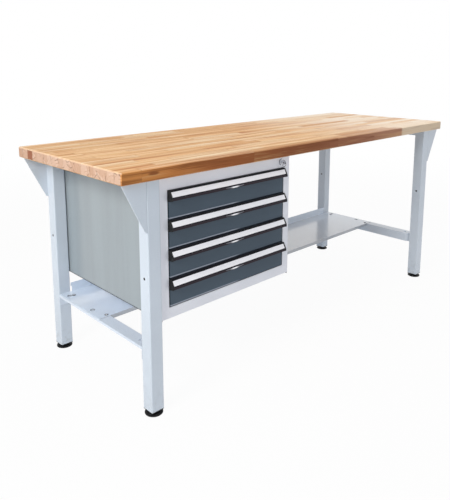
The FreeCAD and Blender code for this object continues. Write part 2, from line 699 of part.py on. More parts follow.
def handle_cap_section(top):
    """Filled outline of the handle, a little larger than the profile."""
    extra = HANDLE_CAP_PROUD
    proud = HANDLE_PROUD + extra
    corners = [(0, 0, 0), (HANDLE_BEAD + extra, 0, HANDLE_ROUND), (SLOPE_END[0] + extra, SLOPE_END[1], 0)]
    corners += [(proud, LIP_ROOT, HANDLE_ROUND), (proud, LIP_FOOT, HANDLE_ROUND)]
    corners += [(HANDLE_WALL, HANDLE_HEIGHT, 0), (0, HANDLE_HEIGHT, 0)]
    return [(FRONT_FACE - ahead, top - drop, radius) for ahead, drop, radius in corners]


def handle_caps(number):
    """Moulded caps on both ends of the handle."""
    top = front_span(number)[1]
    left = handle_reach(LOOSE_GAP)[0]
    cap = prism_x(handle_cap_section(top), (left, left + HANDLE_CAP_WIDTH))
    return [cap, mirror_across_unit(cap)]


def handle_catch(number):
    """Bowed finger plate in the slot of the handle's lip."""
    front = FRONT_FACE - HANDLE_PROUD
    root = front_span(number)[1] - LIP_ROOT - RUN_GAP
    return catch_plate(root, (front, front + HANDLE_WALL), 0.0)


def lock_body(clearance, y):
    """Square block about the lock's axis, grown by clearance: it can't turn in its hole."""
    half = LOCK_BODY_WIDTH / 2 + clearance
    return box((LOCK_X - half, LOCK_X + half), y, (LOCK_Z - half, LOCK_Z + half))


def lock_housing():
    """Die-cast lock: round flange on the rail's face, square body through the rail."""
    flange = rod(V(LOCK_X, UNIT_FRONT, LOCK_Z), V(0, -1, 0), LOCK_FLANGE_DIAMETER, LOCK_FLANGE_THICKNESS)
    body = lock_body(0.0, (UNIT_FRONT, LOCK_BODY_REAR))
    start = V(LOCK_X, UNIT_FRONT - FRONT_FOLD, LOCK_Z)
    bore = rod(start, V(0, 1, 0), PLUG_DIAMETER + 2 * FIT_GAP, 4 * FRONT_FOLD)
    return union([flange, body]).cut(bore)


def keyway(extra, start, finish):
    """Slot for the key's blade, upright in the plug."""
    half = KEY_THICKNESS / 2 + extra
    tall = KEY_BLADE_WIDTH / 2 + extra
    return box((LOCK_X - half, LOCK_X + half), (start, finish), (LOCK_Z - tall, LOCK_Z + tall))


def lock_plug():
    """Turning core with the keyway in front and a crank with its pin behind."""
    face = UNIT_FRONT - LOCK_FLANGE_THICKNESS
    rear = LOCK_BODY_REAR + RUN_GAP
    core = rod(V(LOCK_X, face, LOCK_Z), V(0, 1, 0), PLUG_DIAMETER, rear - face)
    half = PLUG_DIAMETER / 2
    tip = CRANK_RADIUS + CRANK_PIN_DIAMETER / 2
    crank = box((LOCK_X - half, LOCK_X + tip), (rear, rear + CRANK_THICKNESS), (LOCK_Z - half, LOCK_Z + half))
    pin_start = V(LOCK_X + CRANK_RADIUS, rear + CRANK_THICKNESS, LOCK_Z)
    pin = rod(pin_start, V(0, 1, 0), CRANK_PIN_DIAMETER, BAR_THICKNESS + LOOSE_GAP)
    return union([core, crank, pin]).cut(keyway(FIT_GAP, face - 1, face + KEY_BLADE_DEPTH + FIT_GAP))


def lock_key():
    """Flat key: blade in the keyway and a bow with clipped corners and a ring hole."""
    face = UNIT_FRONT - LOCK_FLANGE_THICKNESS
    half = KEY_THICKNESS / 2
    x = (LOCK_X - half, LOCK_X + half)
    shoulder = face - LOOSE_GAP
    blade = keyway(0.0, shoulder, face + KEY_BLADE_DEPTH)
    middle = shoulder - KEY_BOW_WIDTH / 2
    plan = clipped_square(KEY_BOW_WIDTH / 2, KEY_BOW_CLIP)
    bow = prism_x([(middle + u, LOCK_Z + v) for u, v in plan], x)
    ring_centre = V(x[0] - LOOSE_GAP, shoulder - KEY_BOW_WIDTH + KEY_RING_INSET, LOCK_Z)
    hole = rod(ring_centre, V(1, 0, 0), KEY_RING_HOLE, KEY_THICKNESS + 2 * LOOSE_GAP)
    return union([blade, bow]).cut(hole)


def lock_bar():
    """Upright bar behind the right stile, lifted by the crank pin in its yoke."""
    yoke_front = LOCK_BODY_REAR + RUN_GAP + CRANK_THICKNESS + RUN_GAP
    yoke = (yoke_front, yoke_front + BAR_THICKNESS)
    bar_front = UNIT_FRONT + UNIT_SHEET + RUN_GAP
    left = OPEN_RIGHT + UNIT_SHEET + RUN_GAP
    x = (left, left + BAR_WIDTH)
    half_slot = CRANK_PIN_DIAMETER / 2 + 0.3 * CRANK_RADIUS
    half_yoke = half_slot + KEY_THICKNESS
    upright = box(x, (bar_front, bar_front + BAR_THICKNESS), (OPEN_BOTTOM, LOCK_Z + half_yoke))
    bridge = box(x, (bar_front, yoke[1]), (LOCK_Z - half_yoke, LOCK_Z + half_yoke))
    end = LOCK_X - CRANK_PIN_DIAMETER - KEY_THICKNESS
    arm = box((end, x[1]), yoke, (LOCK_Z - half_yoke, LOCK_Z + half_yoke))
    slot_x = (LOCK_X - CRANK_PIN_DIAMETER, LOCK_X + CRANK_RADIUS + CRANK_PIN_DIAMETER)
    slot = box(slot_x, (yoke[0] - 1, yoke[1] + 1), (LOCK_Z - half_slot, LOCK_Z + half_slot))
    return union([upright, bridge, arm]).cut(slot)


def all_parts():
    """Every named piece of the bench."""
    parts = {"tabletop": tabletop()}
    for name, side, end in corner_places():
        parts[f"leg_{name}"] = leg(side, end)
        parts[f"foot_{name}"] = foot(side, end)
    places = [(side, end) for _, side, end in corner_places()]
    parts["gussets"] = group([gusset(side, end) for side, end in places])
    parts["leg_end_caps"] = group([leg_end_cap(side, end) for side, end in places])
    parts["top_rails"] = group([top_rail(-1), top_rail(1)])
    parts["lower_rail_left"] = lower_rail(-1)
    parts["lower_rail_right"] = lower_rail(1)
    parts["shelf"] = shelf()
    parts["shelf_screws"] = group([shelf_screw(seat) for seat in shelf_screw_seats()])
    parts["top_screws"] = group([screw(seat, WOOD_SCREW_LENGTH) for seat in top_screw_seats()])

    side_panel = unit_side_left()
    parts["cabinet_side_left"] = side_panel
    parts["cabinet_side_right"] = mirror_across_unit(side_panel)
    parts["cabinet_back"] = unit_back()
    parts["cabinet_floor"] = unit_floor()
    parts["cabinet_top_rail"] = unit_top_rail()
    parts["cabinet_bottom_rail"] = unit_front_rail(UNIT_BOTTOM, OPEN_BOTTOM)

    fixed = []
    for number in range(1, DRAWER_COUNT + 1):
        level = slide_level(number)
        fixed += pair(slide_fixed(level))
        parts[f"slide_middle_{number}"] = group(pair(slide_middle(level)))
        parts[f"slide_inner_{number}"] = group(pair(slide_inner(level)))
        parts[f"drawer_tray_{number}"] = drawer_tray(number)
        parts[f"drawer_front_{number}"] = drawer_front(number)
        parts[f"handle_{number}"] = handle(number)
        parts[f"label_strip_{number}"] = label_strip(number)
        parts[f"handle_caps_{number}"] = group(handle_caps(number))
        parts[f"handle_catch_{number}"] = handle_catch(number)
    parts["slides_fixed"] = group(fixed)

    parts["lock_housing"] = lock_housing()
    parts["lock_plug"] = lock_plug()
    parts["lock_key"] = lock_key()
    parts["lock_bar"] = lock_bar()
    return parts


os.makedirs("parts", exist_ok=True)
for node, shape in all_parts().items():
    shape.exportStep(f"parts/{node}.step")
    print(node, len(shape.Solids), "solids", round(shape.Volume / 1000, 1), "cm3", shape.isValid())
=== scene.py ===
# %% [markdown]
# This lesson dresses a workbench: a thick beech top on two welded leg frames, a steel unit of four
# drawers hung under its left end and a half-depth shelf at the back. Every solid already has its real
# size and place, so the work here is light, finish and the small pieces that solids leave out.
# Lengths are in metres, +X runs to the right, the drawers open towards -Y and +Z is up.

# %% Load the frame
import json
import math

import bmesh
import bpy
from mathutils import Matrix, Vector


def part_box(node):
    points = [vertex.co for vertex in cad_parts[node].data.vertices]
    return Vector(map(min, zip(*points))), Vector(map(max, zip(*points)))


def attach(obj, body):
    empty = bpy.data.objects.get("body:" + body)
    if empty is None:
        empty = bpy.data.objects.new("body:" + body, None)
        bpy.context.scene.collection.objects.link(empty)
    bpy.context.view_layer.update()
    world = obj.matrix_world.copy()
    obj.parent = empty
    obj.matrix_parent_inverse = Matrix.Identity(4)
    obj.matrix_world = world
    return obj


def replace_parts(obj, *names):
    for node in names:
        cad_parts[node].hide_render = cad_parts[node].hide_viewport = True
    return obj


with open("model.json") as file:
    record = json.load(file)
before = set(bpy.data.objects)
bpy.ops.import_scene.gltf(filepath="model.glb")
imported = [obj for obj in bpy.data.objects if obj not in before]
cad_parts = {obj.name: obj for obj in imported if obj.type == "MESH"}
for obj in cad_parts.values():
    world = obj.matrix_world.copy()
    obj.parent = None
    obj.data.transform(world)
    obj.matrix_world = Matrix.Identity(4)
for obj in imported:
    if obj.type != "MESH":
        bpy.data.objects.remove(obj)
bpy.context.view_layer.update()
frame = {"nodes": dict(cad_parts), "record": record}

nodes = frame["nodes"]

# %% [markdown]
# The photograph was taken from the left front corner, a little above the top, with the lens kept
# nearly level: upright legs stay almost upright in it. A camera that simply aims at the bench would
# make the legs lean together, so this one tilts only a little and shifts its picture down instead.

# %% Camera
IMAGE_WIDTH = 450
IMAGE_HEIGHT = 500
SENSOR = 36.0
CAMERA_PLACE = (-1.8731, -1.7135, 1.1655)
CAMERA_YAW = math.radians(43.67)
CAMERA_PITCH = math.radians(-9.79)
FOCAL_PIXELS = 559.6
AXIS_PIXEL_X = 227.7
AXIS_PIXEL_Y = 155.9

lens = bpy.data.cameras.new("camera")
lens.sensor_width = SENSOR
lens.lens = FOCAL_PIXELS / IMAGE_HEIGHT * SENSOR
lens.shift_x = (IMAGE_WIDTH / 2 - AXIS_PIXEL_X) / IMAGE_HEIGHT
lens.shift_y = (AXIS_PIXEL_Y - IMAGE_HEIGHT / 2) / IMAGE_HEIGHT
camera = bpy.data.objects.new("camera", lens)
camera.location = CAMERA_PLACE
camera.rotation_euler = (math.pi / 2 + CAMERA_PITCH, 0.0, -CAMERA_YAW)
bpy.context.scene.collection.objects.link(camera)
bpy.context.scene.camera = camera
bpy.context.scene.view_settings.view_transform = "Standard"
print("lens mm:", round(lens.lens, 2), "shift:", round(lens.shift_x, 4), round(lens.shift_y, 4))

# %% [markdown]
# Every finish below is a small graph of nodes. Placing nodes by hand in the editor is fine for one
# material, but a dozen of them read better as sums. A Wire wraps one output of a node, and Python's
# operators on it add the matching Math node, or the Vector Math node where a vector takes part.

# %% Wires that add up
class Wire:
    """A node's output that can be added, subtracted, multiplied and divided like a number."""

    def __init__(self, recipe, socket):
        self.recipe = recipe
        self.socket = socket

    def join(self, operation, first, second):
        wires = [side for side in (first, second) if isinstance(side, Wire)]
        is_vector = any(wire.socket.type == "VECTOR" for wire in wires)
        kind = "ShaderNodeVectorMath" if is_vector else "ShaderNodeMath"
        return self.recipe.node(kind, {"operation": operation}, {0: first, 1: second})

    def __add__(self, other):
        return self.join("ADD", self, other)

    def __radd__(self, other):
        return self.join("ADD", other, self)

    def __sub__(self, other):
        return self.join("SUBTRACT", self, other)

    def __rsub__(self, other):
        return self.join("SUBTRACT", other, self)

    def __mul__(self, other):
        return self.join("MULTIPLY", self, other)

    def __rmul__(self, other):
        return self.join("MULTIPLY", other, self)

    def __truediv__(self, other):
        return self.join("DIVIDE", self, other)

    def __rtruediv__(self, other):
        return self.join("DIVIDE", other, self)

    def math(self, operation, other=0.0):
        return self.join(operation, self, other)


print("operators ready: + - * / from either side")

# %% [markdown]
# A Recipe holds one node tree. Its node method is the only place where a node is made: the settings go
# in first, because some of them decide which sockets exist, and then the values or wires of the inputs.
# Colours are blended by a Mix node, since a Math node would turn them grey.

# %% Recipes of nodes
MIX_FACTOR = 0
MIX_FIRST = 6
MIX_SECOND = 7
MIX_COLOUR = 2
RIM_SOFT = 0.6


def lay_stops(ramp, stops):
    """Puts the stops, pairs of place and colour, on a colour ramp."""
    while len(ramp.elements) < len(stops):
        ramp.elements.new(1.0)
    for element, (place, colour) in zip(ramp.elements, stops):
        element.position = place
        element.color = colour


class Recipe:
    """A node tree and the ways to add nodes to it."""

    def __init__(self, tree):
        self.tree = tree

    def plug(self, socket, value):
        if isinstance(value, Wire):
            self.tree.links.new(value.socket, socket)
        elif hasattr(socket.default_value, "__len__") and not hasattr(value, "__len__"):
            socket.default_value = [value] * len(socket.default_value)
        else:
            socket.default_value = value

    def node(self, kind, settings=None, sockets=None, out=0):
        made = self.tree.nodes.new(kind)
        for name, value in (settings or {}).items():
            if name == "stops":
                lay_stops(made.color_ramp, value)
            elif name == "steps":
                made.color_ramp.interpolation = "CONSTANT" if value else "LINEAR"
            else:
                setattr(made, name, value)
        for key, value in (sockets or {}).items():
            self.plug(made.inputs[key], value)
        return Wire(self, made.outputs[out]) if made.outputs else made

    def mix(self, first, second, factor, blend="MIX"):
        settings = {"data_type": "RGBA", "blend_type": blend}
        sockets = {MIX_FACTOR: factor, MIX_FIRST: first, MIX_SECOND: second}
        return self.node("ShaderNodeMix", settings, sockets, MIX_COLOUR)

    def mark(self, tone, colour, mask, share):
        """A tone with marks of some colour, of that strength where the mask is 1."""
        return self.mix(tone, colour, mask * share)

    def noise(self, place, scale=1.0, detail=2.0):
        return self.node("ShaderNodeTexNoise", None, {"Vector": place, "Scale": scale, "Detail": detail})

    def chance(self, number):
        """One value from 0 to 1 for each whole number."""
        return self.node("ShaderNodeTexWhiteNoise", {"noise_dimensions": "1D"}, {"W": number})

    def between(self, value, low, high):
        """0 at low, 1 at high and a soft step from one to the other; low may be the larger."""
        sockets = {"Value": value, "From Min": low, "From Max": high}
        return self.node("ShaderNodeMapRange", {"interpolation_type": "SMOOTHSTEP"}, sockets)

    def rim(self, reach, radius, width, soft=RIM_SOFT):
        """1 up to a rim of some width round a radius, and 0 beyond it."""
        return self.between(reach, radius + width, radius + width * soft)

    def ramp(self, value, stops, steps=False):
        return self.node("ShaderNodeValToRGB", {"stops": stops, "steps": steps}, {0: value})

    def axes(self, place):
        split = self.node("ShaderNodeSeparateXYZ", None, {0: place}).socket.node
        return [Wire(self, output) for output in split.outputs]

    def vector(self, x, y, z):
        return self.node("ShaderNodeCombineXYZ", None, {0: x, 1: y, 2: z})

    def length(self, place):
        return self.node("ShaderNodeVectorMath", {"operation": "LENGTH"}, {0: place}, "Value")


print("recipes can:", [name for name in vars(Recipe) if not name.startswith("_")])

# %% [markdown]
# Blender works with linear light, while a colour card, and a photograph on the screen, counts from 0 to
# 255 on a curved scale. Picking colours by eye in the editor hides that step. Here a small function
# takes a card's numbers and hands back the linear colour that a socket needs.

# %% Colours
def shade(red, green, blue):
    """Linear colour of a shade written as on a colour card, 0 to 255."""
    shares = [level / 255 for level in (red, green, blue)]
    linear = [s / 12.92 if s <= 0.04045 else ((s + 0.055) / 1.055) ** 2.4 for s in shares]
    return (*linear, 1.0)


def tint(colour, factor):
    """The same colour, lighter or darker."""
    return (*[channel * factor for channel in colour[:3]], 1.0)


print("a pale card as a linear colour:", [round(c, 3) for c in shade(230, 230, 230)])

# %% [markdown]
# The bench stands in a white studio. A white world that lit everything at full strength would wash the
# paint out, so the world has two strengths: rays from the camera and reflections see plain white, and
# diffuse light gets a weaker, slightly blue sky. Light Path tells the two kinds of ray apart.

# %% Studio world
SKY_STRENGTH = 0.44
SKY_COLOUR = shade(238, 242, 250)
STUDIO_WHITE = (1.0, 1.0, 1.0, 1.0)


def seen_directly(recipe):
    """1 for camera, mirror and glass rays, 0 for the rays that light the scene."""
    path = recipe.node("ShaderNodeLightPath").socket.node
    camera_ray, mirror_ray, glass_ray = [
        Wire(recipe, path.outputs[f"Is {kind} Ray"]) for kind in ("Camera", "Glossy", "Transmission")]
    return camera_ray.math("MAXIMUM", mirror_ray).math("MAXIMUM", glass_ray)


world = bpy.data.worlds.new("studio")
world.use_nodes = True
world.node_tree.nodes.clear()
bpy.context.scene.world = world
sky = Recipe(world.node_tree)
dim_sky = sky.node("ShaderNodeBackground", None, {"Color": SKY_COLOUR, "Strength": SKY_STRENGTH})
white_sky = sky.node("ShaderNodeBackground", None, {"Color": STUDIO_WHITE, "Strength": 1.0})
both_skies = sky.node("ShaderNodeMixShader", None, {0: seen_directly(sky), 1: dim_sky, 2: white_sky})
sky.node("ShaderNodeOutputWorld", None, {"Surface": both_skies})
print("world nodes:", len(world.node_tree.nodes))

# %% [markdown]
# In the photograph the left faces of the legs are the brightest, the fronts are a step darker and the top
# grows paler to the right. A soft lamp at the left lights the left faces, a broad one far in front stands
# low enough to reach under the top, and a third hangs over the right half of the top. Area lamps give
# soft edges; sun lamps would cut them hard.

# %% Lamps
LAMP_WHITE = shade(255, 252, 247)


def softbox(name, place, aim, width, height, watts):
    """A rectangular lamp that looks from place towards aim."""
    lamp = bpy.data.lights.new(name, "AREA")
    lamp.shape = "RECTANGLE"
    lamp.size = width
    lamp.size_y = height
    lamp.energy = watts
    lamp.color = LAMP_WHITE[:3]
    stand = bpy.data.objects.new(name, lamp)
    stand.location = place
    stand.rotation_euler = (Vector(aim) - Vector(place)).to_track_quat("-Z", "Y").to_euler()
    bpy.context.scene.collection.objects.link(stand)
    return stand


lamps = [
    softbox("left_lamp", place=(-3.5, -0.7, 2.3), aim=(-0.6, -0.1, 0.40),
            width=1.2, height=1.1, watts=80.0),
    softbox("front_lamp", place=(-0.4, -8.0, 1.6), aim=(0.4, 0.0, 0.45),
            width=4.4, height=2.0, watts=84.0),
    softbox("overhead_lamp", place=(1.1, -0.2, 2.9), aim=(1.1, -0.1, 0.8),
            width=2.8, height=1.6, watts=25.0),
]
print("lamps:", [(lamp.name, lamp.data.energy) for lamp in lamps])

# %% [markdown]
# The floor has to look white and still carry the bench's soft shadow. It is a matt plane with some glow
# of its own, which only the camera and reflections see, so that it sends no extra light up. The glow
# grows with the distance until the floor is as white as the world behind it and the horizon vanishes.

# %% Floor
FLOOR_HALF = 20.0
FLOOR_COLOUR = shade(236, 236, 236)
FLOOR_GLOW = 0.95
GLOW_NEAR = 1.6
GLOW_FAR = 5.0

floor_mesh = bpy.data.meshes.new("floor")
corners = [(-FLOOR_HALF, -FLOOR_HALF, 0), (FLOOR_HALF, -FLOOR_HALF, 0), (FLOOR_HALF, FLOOR_HALF, 0),
           (-FLOOR_HALF, FLOOR_HALF, 0)]
floor_mesh.from_pydata(corners, [], [(0, 1, 2, 3)])
floor = bpy.data.objects.new("floor", floor_mesh)
bpy.context.scene.collection.objects.link(floor)

floor_material = bpy.data.materials.new("studio_floor")
floor_material.use_nodes = True
floor_material.node_tree.nodes.clear()
ground = Recipe(floor_material.node_tree)
matt = ground.node("ShaderNodeBsdfDiffuse", None, {"Color": FLOOR_COLOUR})
glow = ground.node("ShaderNodeEmission", None, {"Color": STUDIO_WHITE, "Strength": 1.0})
away = ground.length(ground.node("ShaderNodeTexCoord", out="Object"))
glow_share = ground.between(away, GLOW_NEAR, GLOW_FAR) * (1 - FLOOR_GLOW) + FLOOR_GLOW
blend = ground.node("ShaderNodeMixShader", None, {0: seen_directly(ground) * glow_share, 1: matt, 2: glow})
ground.node("ShaderNodeOutputMaterial", None, {"Surface": blend})
floor_mesh.materials.append(floor_material)
print("floor width:", 2 * FLOOR_HALF)

# %% [markdown]
# A Finish is a Recipe that ends in the Principled shader, with the piece's own coordinates at hand. All
# solids sit at the origin, so these coordinates are metres in the bench's frame: a stave or a scuff can
# be placed by its real position. Relief goes through a Bump node, on top of a Bevel node that rounds
# the knife edges of folded sheet for the light without changing the mesh.

# %% Finishes
BEVEL_SAMPLES = 4


class Finish(Recipe):
    """A material: a recipe that ends in one Principled shader."""

    def __init__(self, name):
        self.material = bpy.data.materials.new(name)
        self.material.use_nodes = True
        super().__init__(self.material.node_tree)
        self.shader = self.tree.nodes["Principled BSDF"]
        self.place = self.node("ShaderNodeTexCoord", out="Object")
        self.x, self.y, self.z = self.axes(self.place)

    def set(self, socket, value):
        self.plug(self.shader.inputs[socket], value)

    def dull(self, mask, least, span):
        """Roughness that grows by span from its least value as the mask goes from 0 to 1."""
        self.set("Roughness", mask * span + least)

    def facing(self):
        """The direction of the surface, as its shares along X, Y and Z."""
        return self.axes(self.node("ShaderNodeTexCoord", out="Normal"))

    def relief(self, height, depth, edge):
        """Bump that is depth high where height is 1, over edges rounded by edge."""
        rounded = self.node("ShaderNodeBevel", {"samples": BEVEL_SAMPLES}, {"Radius": edge})
        sockets = {"Strength": 1.0, "Distance": depth, "Height": height, "Normal": rounded}
        self.set("Normal", self.node("ShaderNodeBump", None, sockets))


print("bevel samples:", BEVEL_SAMPLES)

# %% [markdown]
# Steel parts are powder coated: the melted powder leaves a faint orange-peel skin, and its gloss and
# tone drift a little from place to place. A flat colour would look like plastic, so one function makes
# the skin from a coarse noise for the drift and a fine one for the peel. It hands back the colour too,
# and each part adds its own marks to that.

# %% Powder coat
PEEL_SCALE = 520.0
PEEL_DEPTH = 0.00004
PEEL_DULLNESS = 0.10
DRIFT_SCALE = 3.0
DRIFT_DARK = 0.93
COAT_WEIGHT = 0.5
COAT_ROUGHNESS = 0.15
SHEET_EDGE = 0.0012


def powder_coat(name, colour, rough=0.24, clear=COAT_WEIGHT):
    """Sprayed and baked paint; returns the finish and its colour for further marks."""
    finish = Finish(name)
    drift = finish.noise(finish.place, DRIFT_SCALE, detail=4.0)
    peel = finish.noise(finish.place, PEEL_SCALE, detail=1.0)
    tone = finish.mix(tint(colour, DRIFT_DARK), colour, finish.between(drift, 0.35, 0.65))
    finish.set("Base Color", tone)
    finish.dull(peel, rough, PEEL_DULLNESS)
    finish.set("Coat Weight", clear)
    finish.set("Coat Roughness", COAT_ROUGHNESS)
    finish.relief(peel, PEEL_DEPTH, SHEET_EDGE)
    return finish, tone


print("orange peel is about", round(1000 / PEEL_SCALE, 1), "mm wide")

# %% [markdown]
# The leg frames are light blue-grey. Scuffs gather near the floor, where feet and brooms reach. The steel
# inside the tubes is bare, and painted shade makes it nearly black; painted shade also darkens the rim of
# the cross hole in each leg. The legs stand at plus and minus the same places, so absolute values of X and
# Y fold all four into one, and each mark is a mask worked out once.

# %% Frame coat
leg_low, leg_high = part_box("leg_rear_right")
LEG_MIDDLE = (leg_low + leg_high) / 2
LEG_HALF = (leg_high.x - leg_low.x) / 2
TUBE_SKIN = 0.0012
TUBE_SKIN_DEEP = 1.3 * TUBE_SKIN
LEG_HOLE_HEIGHT = 0.477
LEG_HOLE_RADIUS = 0.0035
LEG_HOLE_RIM = 0.0016
SCUFF_TOP = 0.11
SCUFF_LOW = 0.02
SCUFF_SCALE = 45.0


def frame_coat():
    """Light blue-grey coat with scuffs, and painted shade inside the bare tubes and round the leg holes.
    """
    finish, tone = powder_coat("frame_coat", shade(208, 219, 231))
    smears = finish.between(finish.noise(finish.place, SCUFF_SCALE, detail=5.0), 0.50, 0.68)
    scuffs = smears * finish.between(finish.z, SCUFF_TOP, SCUFF_LOW)
    tone = finish.mark(tone, shade(150, 152, 152), scuffs, share=0.35)
    off_x = (finish.x.math("ABSOLUTE") - LEG_MIDDLE.x).math("ABSOLUTE")
    off_y = (finish.y.math("ABSOLUTE") - LEG_MIDDLE.y).math("ABSOLUTE")
    off_leg = off_x.math("MAXIMUM", off_y)
    inside = finish.between(off_leg, LEG_HALF - TUBE_SKIN, LEG_HALF - TUBE_SKIN_DEEP)
    off_hole = finish.length(finish.vector(0.0, off_y, finish.z - LEG_HOLE_HEIGHT))
    # Painted shade: the bare tube insides and the rims of the leg holes go nearly black.
    bare_and_shade = inside.math("MAXIMUM", finish.rim(off_hole, LEG_HOLE_RADIUS, LEG_HOLE_RIM))
    finish.set("Base Color", finish.mix(tone, shade(34, 36, 42), bare_and_shade))
    return finish


print("scuffs reach", SCUFF_TOP, "m above the floor")

# %% [markdown]
# The shelf and the two rails that carry it are coated paler than the legs: painted light, for the light
# that the top keeps from them. The shelf is glossier too. Painted shade darkens the rims of its punched
# holes and its folded front lip. Two masks find that lip: the surface faces the front, and it lies within
# a few millimetres of the front edge.

# %% Shelf and rail coats
PUNCHED_PLACES = (0.069, 0.245)
PUNCHED_RADIUS = 0.0070
PUNCHED_RIM = 0.0030
LIP_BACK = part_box("shelf")[0].y + 0.004
LIP_SOFT = 0.001


def shelf_coat():
    """Glossy coat of the shelf sheet, paler as painted light, with painted shade on the rims of its holes
    and on its lip.
    """
    # Paler than the frame's coat: painted light.
    finish, tone = powder_coat("shelf_coat", shade(224, 237, 252), rough=0.18, clear=1.0)
    off_x = finish.x.math("ABSOLUTE") - LEG_MIDDLE.x
    for place in PUNCHED_PLACES:
        reach = finish.length(finish.vector(off_x, finish.y - place, 0.0))
        # Painted shade on the rim of each punched hole.
        hole_shade = finish.rim(reach, PUNCHED_RADIUS, PUNCHED_RIM)
        tone = finish.mark(tone, shade(58, 62, 70), hole_shade, share=0.85)
    # Painted shade on the front-facing lip.
    facing_front = finish.between(finish.facing()[1], -0.5, -0.8)
    lip = facing_front * finish.between(finish.y, LIP_BACK, LIP_BACK - LIP_SOFT)
    finish.set("Base Color", finish.mix(tone, shade(178, 184, 192), lip))
    return finish


def rail_coat():
    """Coat of the two rails under the shelf, paler than the legs as painted light."""
    # Paler than the frame's coat: painted light.
    return powder_coat("rail_coat", shade(218, 229, 242))[0]


print("punched holes:", 2 * len(PUNCHED_PLACES))

# %% [markdown]
# The drawer unit is lavender-grey in front. Its side panels get a darker green-grey, painted shade, with
# faint upright bands of painted reflection, and a thin painted shadow runs round the lock. One finish
# holds all three and tells the panels by their direction. The trays are rubbed dull by what they carry.

# %% Drawer unit coats
PANEL_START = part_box("cabinet_side_left")[0].y
PANEL_FULL = PANEL_START + 0.004
RAIL_FACE = PANEL_START + 0.001
REFLECTION_BANDS = 20.0
BANDS_UPRIGHT = 0.05 * REFLECTION_BANDS
lock_low, lock_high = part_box("lock_housing")
lock_middle = (lock_low + lock_high) / 2
LOCK_RADIUS = (lock_high.x - lock_low.x) / 2
LOCK_SHADOW = 0.0014
LOCK_SHADOW_SOFT = 0.7
RUB_STRETCH = Vector((6.0, 2.0, 6.0))
RUB_SCALE = 6.0


def cabinet_coat():
    """Lavender-grey front with a painted shadow round the lock, and side panels in painted shade with
    faint bands of painted reflection.
    """
    finish, tone = powder_coat("cabinet_coat", shade(236, 239, 248))
    sideways = finish.facing()[0].math("ABSOLUTE")
    panel = finish.between(sideways, 0.6, 0.8) * finish.between(finish.y, PANEL_START, PANEL_FULL)
    # Painted shade on the side panels, with faint upright bands of painted reflection.
    band_place = finish.vector(0.0, finish.y * REFLECTION_BANDS, finish.z * BANDS_UPRIGHT)
    painted_bands = finish.between(finish.noise(band_place, detail=3.0), 0.30, 0.70)
    tone = finish.mix(tone, finish.mix(shade(144, 154, 160), shade(150, 161, 167), painted_bands), panel)
    # A thin painted shadow round the lock.
    off_lock = finish.length(finish.vector(finish.x - lock_middle.x, 0.0, finish.z - lock_middle.z))
    lock_shadow = finish.rim(off_lock, LOCK_RADIUS, LOCK_SHADOW, LOCK_SHADOW_SOFT)
    lock_shadow = lock_shadow * finish.between(finish.y, PANEL_FULL, RAIL_FACE)
    finish.set("Base Color", finish.mix(tone, shade(38, 40, 46), lock_shadow))
    return finish


def tray_coat():
    """Light grey coat of the drawer trays, rubbed dull inside by use."""
    finish, tone = powder_coat("tray_coat", shade(196, 200, 205))
    rubs = finish.noise(finish.place * RUB_STRETCH, RUB_SCALE, detail=5.0)
    rubbed = finish.between(rubs, 0.52, 0.75)
    finish.set("Base Color", finish.mark(tone, shade(172, 175, 179), rubbed, share=0.4))
    return finish


print("lock diameter:", round(2 * LOCK_RADIUS, 4))

# %% [markdown]
# The drawer fronts are anthracite. Along the lower edge of each runs a painted highlight of the rounded
# fold, which fades out past the middle, with painted shade on the fold's underside below it. The four
# fronts repeat at one pitch, so a fraction of that pitch gives the height within a front, and one finish
# serves them all.

# %% Anthracite drawer fronts
front_low, front_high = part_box("drawer_front_1")
DRAWER_PITCH = front_low.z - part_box("drawer_front_2")[0].z
FRONT_WIDTH = front_high.x - front_low.x
HIGHLIGHT_HEIGHT = 0.0064
HIGHLIGHT_SOFT = 0.8 * HIGHLIGHT_HEIGHT
HIGHLIGHT_FULL = front_low.x + 0.50 * FRONT_WIDTH
HIGHLIGHT_END = front_low.x + 0.60 * FRONT_WIDTH
FOLD_SHADE_HEIGHT = 0.0022
FOLD_SHADE_SOFT = 0.7 * FOLD_SHADE_HEIGHT
FRONT_GLINT = 0.2


def height_in_pitch(finish, start):
    """Height above start, counted anew for every drawer."""
    return ((finish.z - start) / DRAWER_PITCH).math("FRACT") * DRAWER_PITCH


def drawer_coat():
    """Anthracite coat with a painted highlight above painted shade on the lower fold."""
    finish, tone = powder_coat("drawer_coat", shade(80, 94, 107), rough=0.45, clear=0.0)
    finish.set("Specular IOR Level", FRONT_GLINT)
    height = height_in_pitch(finish, front_low.z)
    # Painted highlight along the lower edge, fading out past the middle.
    line = finish.between(height, HIGHLIGHT_HEIGHT, HIGHLIGHT_SOFT)
    painted_highlight = line * finish.between(finish.x, HIGHLIGHT_END, HIGHLIGHT_FULL)
    tone = finish.mark(tone, shade(166, 174, 188), painted_highlight, share=0.9)
    # Painted shade on the underside of the lower fold.
    fold_shade = finish.between(height, FOLD_SHADE_HEIGHT, FOLD_SHADE_SOFT)
    finish.set("Base Color", finish.mix(tone, shade(30, 36, 48), fold_shade))
    return finish


print("drawer pitch:", round(DRAWER_PITCH, 4))

# %% [markdown]
# Handles are a dark extruded plastic: nearly black on the bead above the label, a little purple and
# paler on the lip below it, with fine draw lines along the profile. Noise that is stretched along X gives
# the lines, and the drop below the handle's upper edge tells bead from lip on all four drawers.

# %% Handle plastic
handle_low, handle_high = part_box("handle_1")
LIP_START = 0.022
LIP_FULL = 0.025
LINES_ALONG = 4.0
LINES_ACROSS = 900.0
HANDLE_GLINT = 0.15
PLASTIC_EDGE = 0.0006


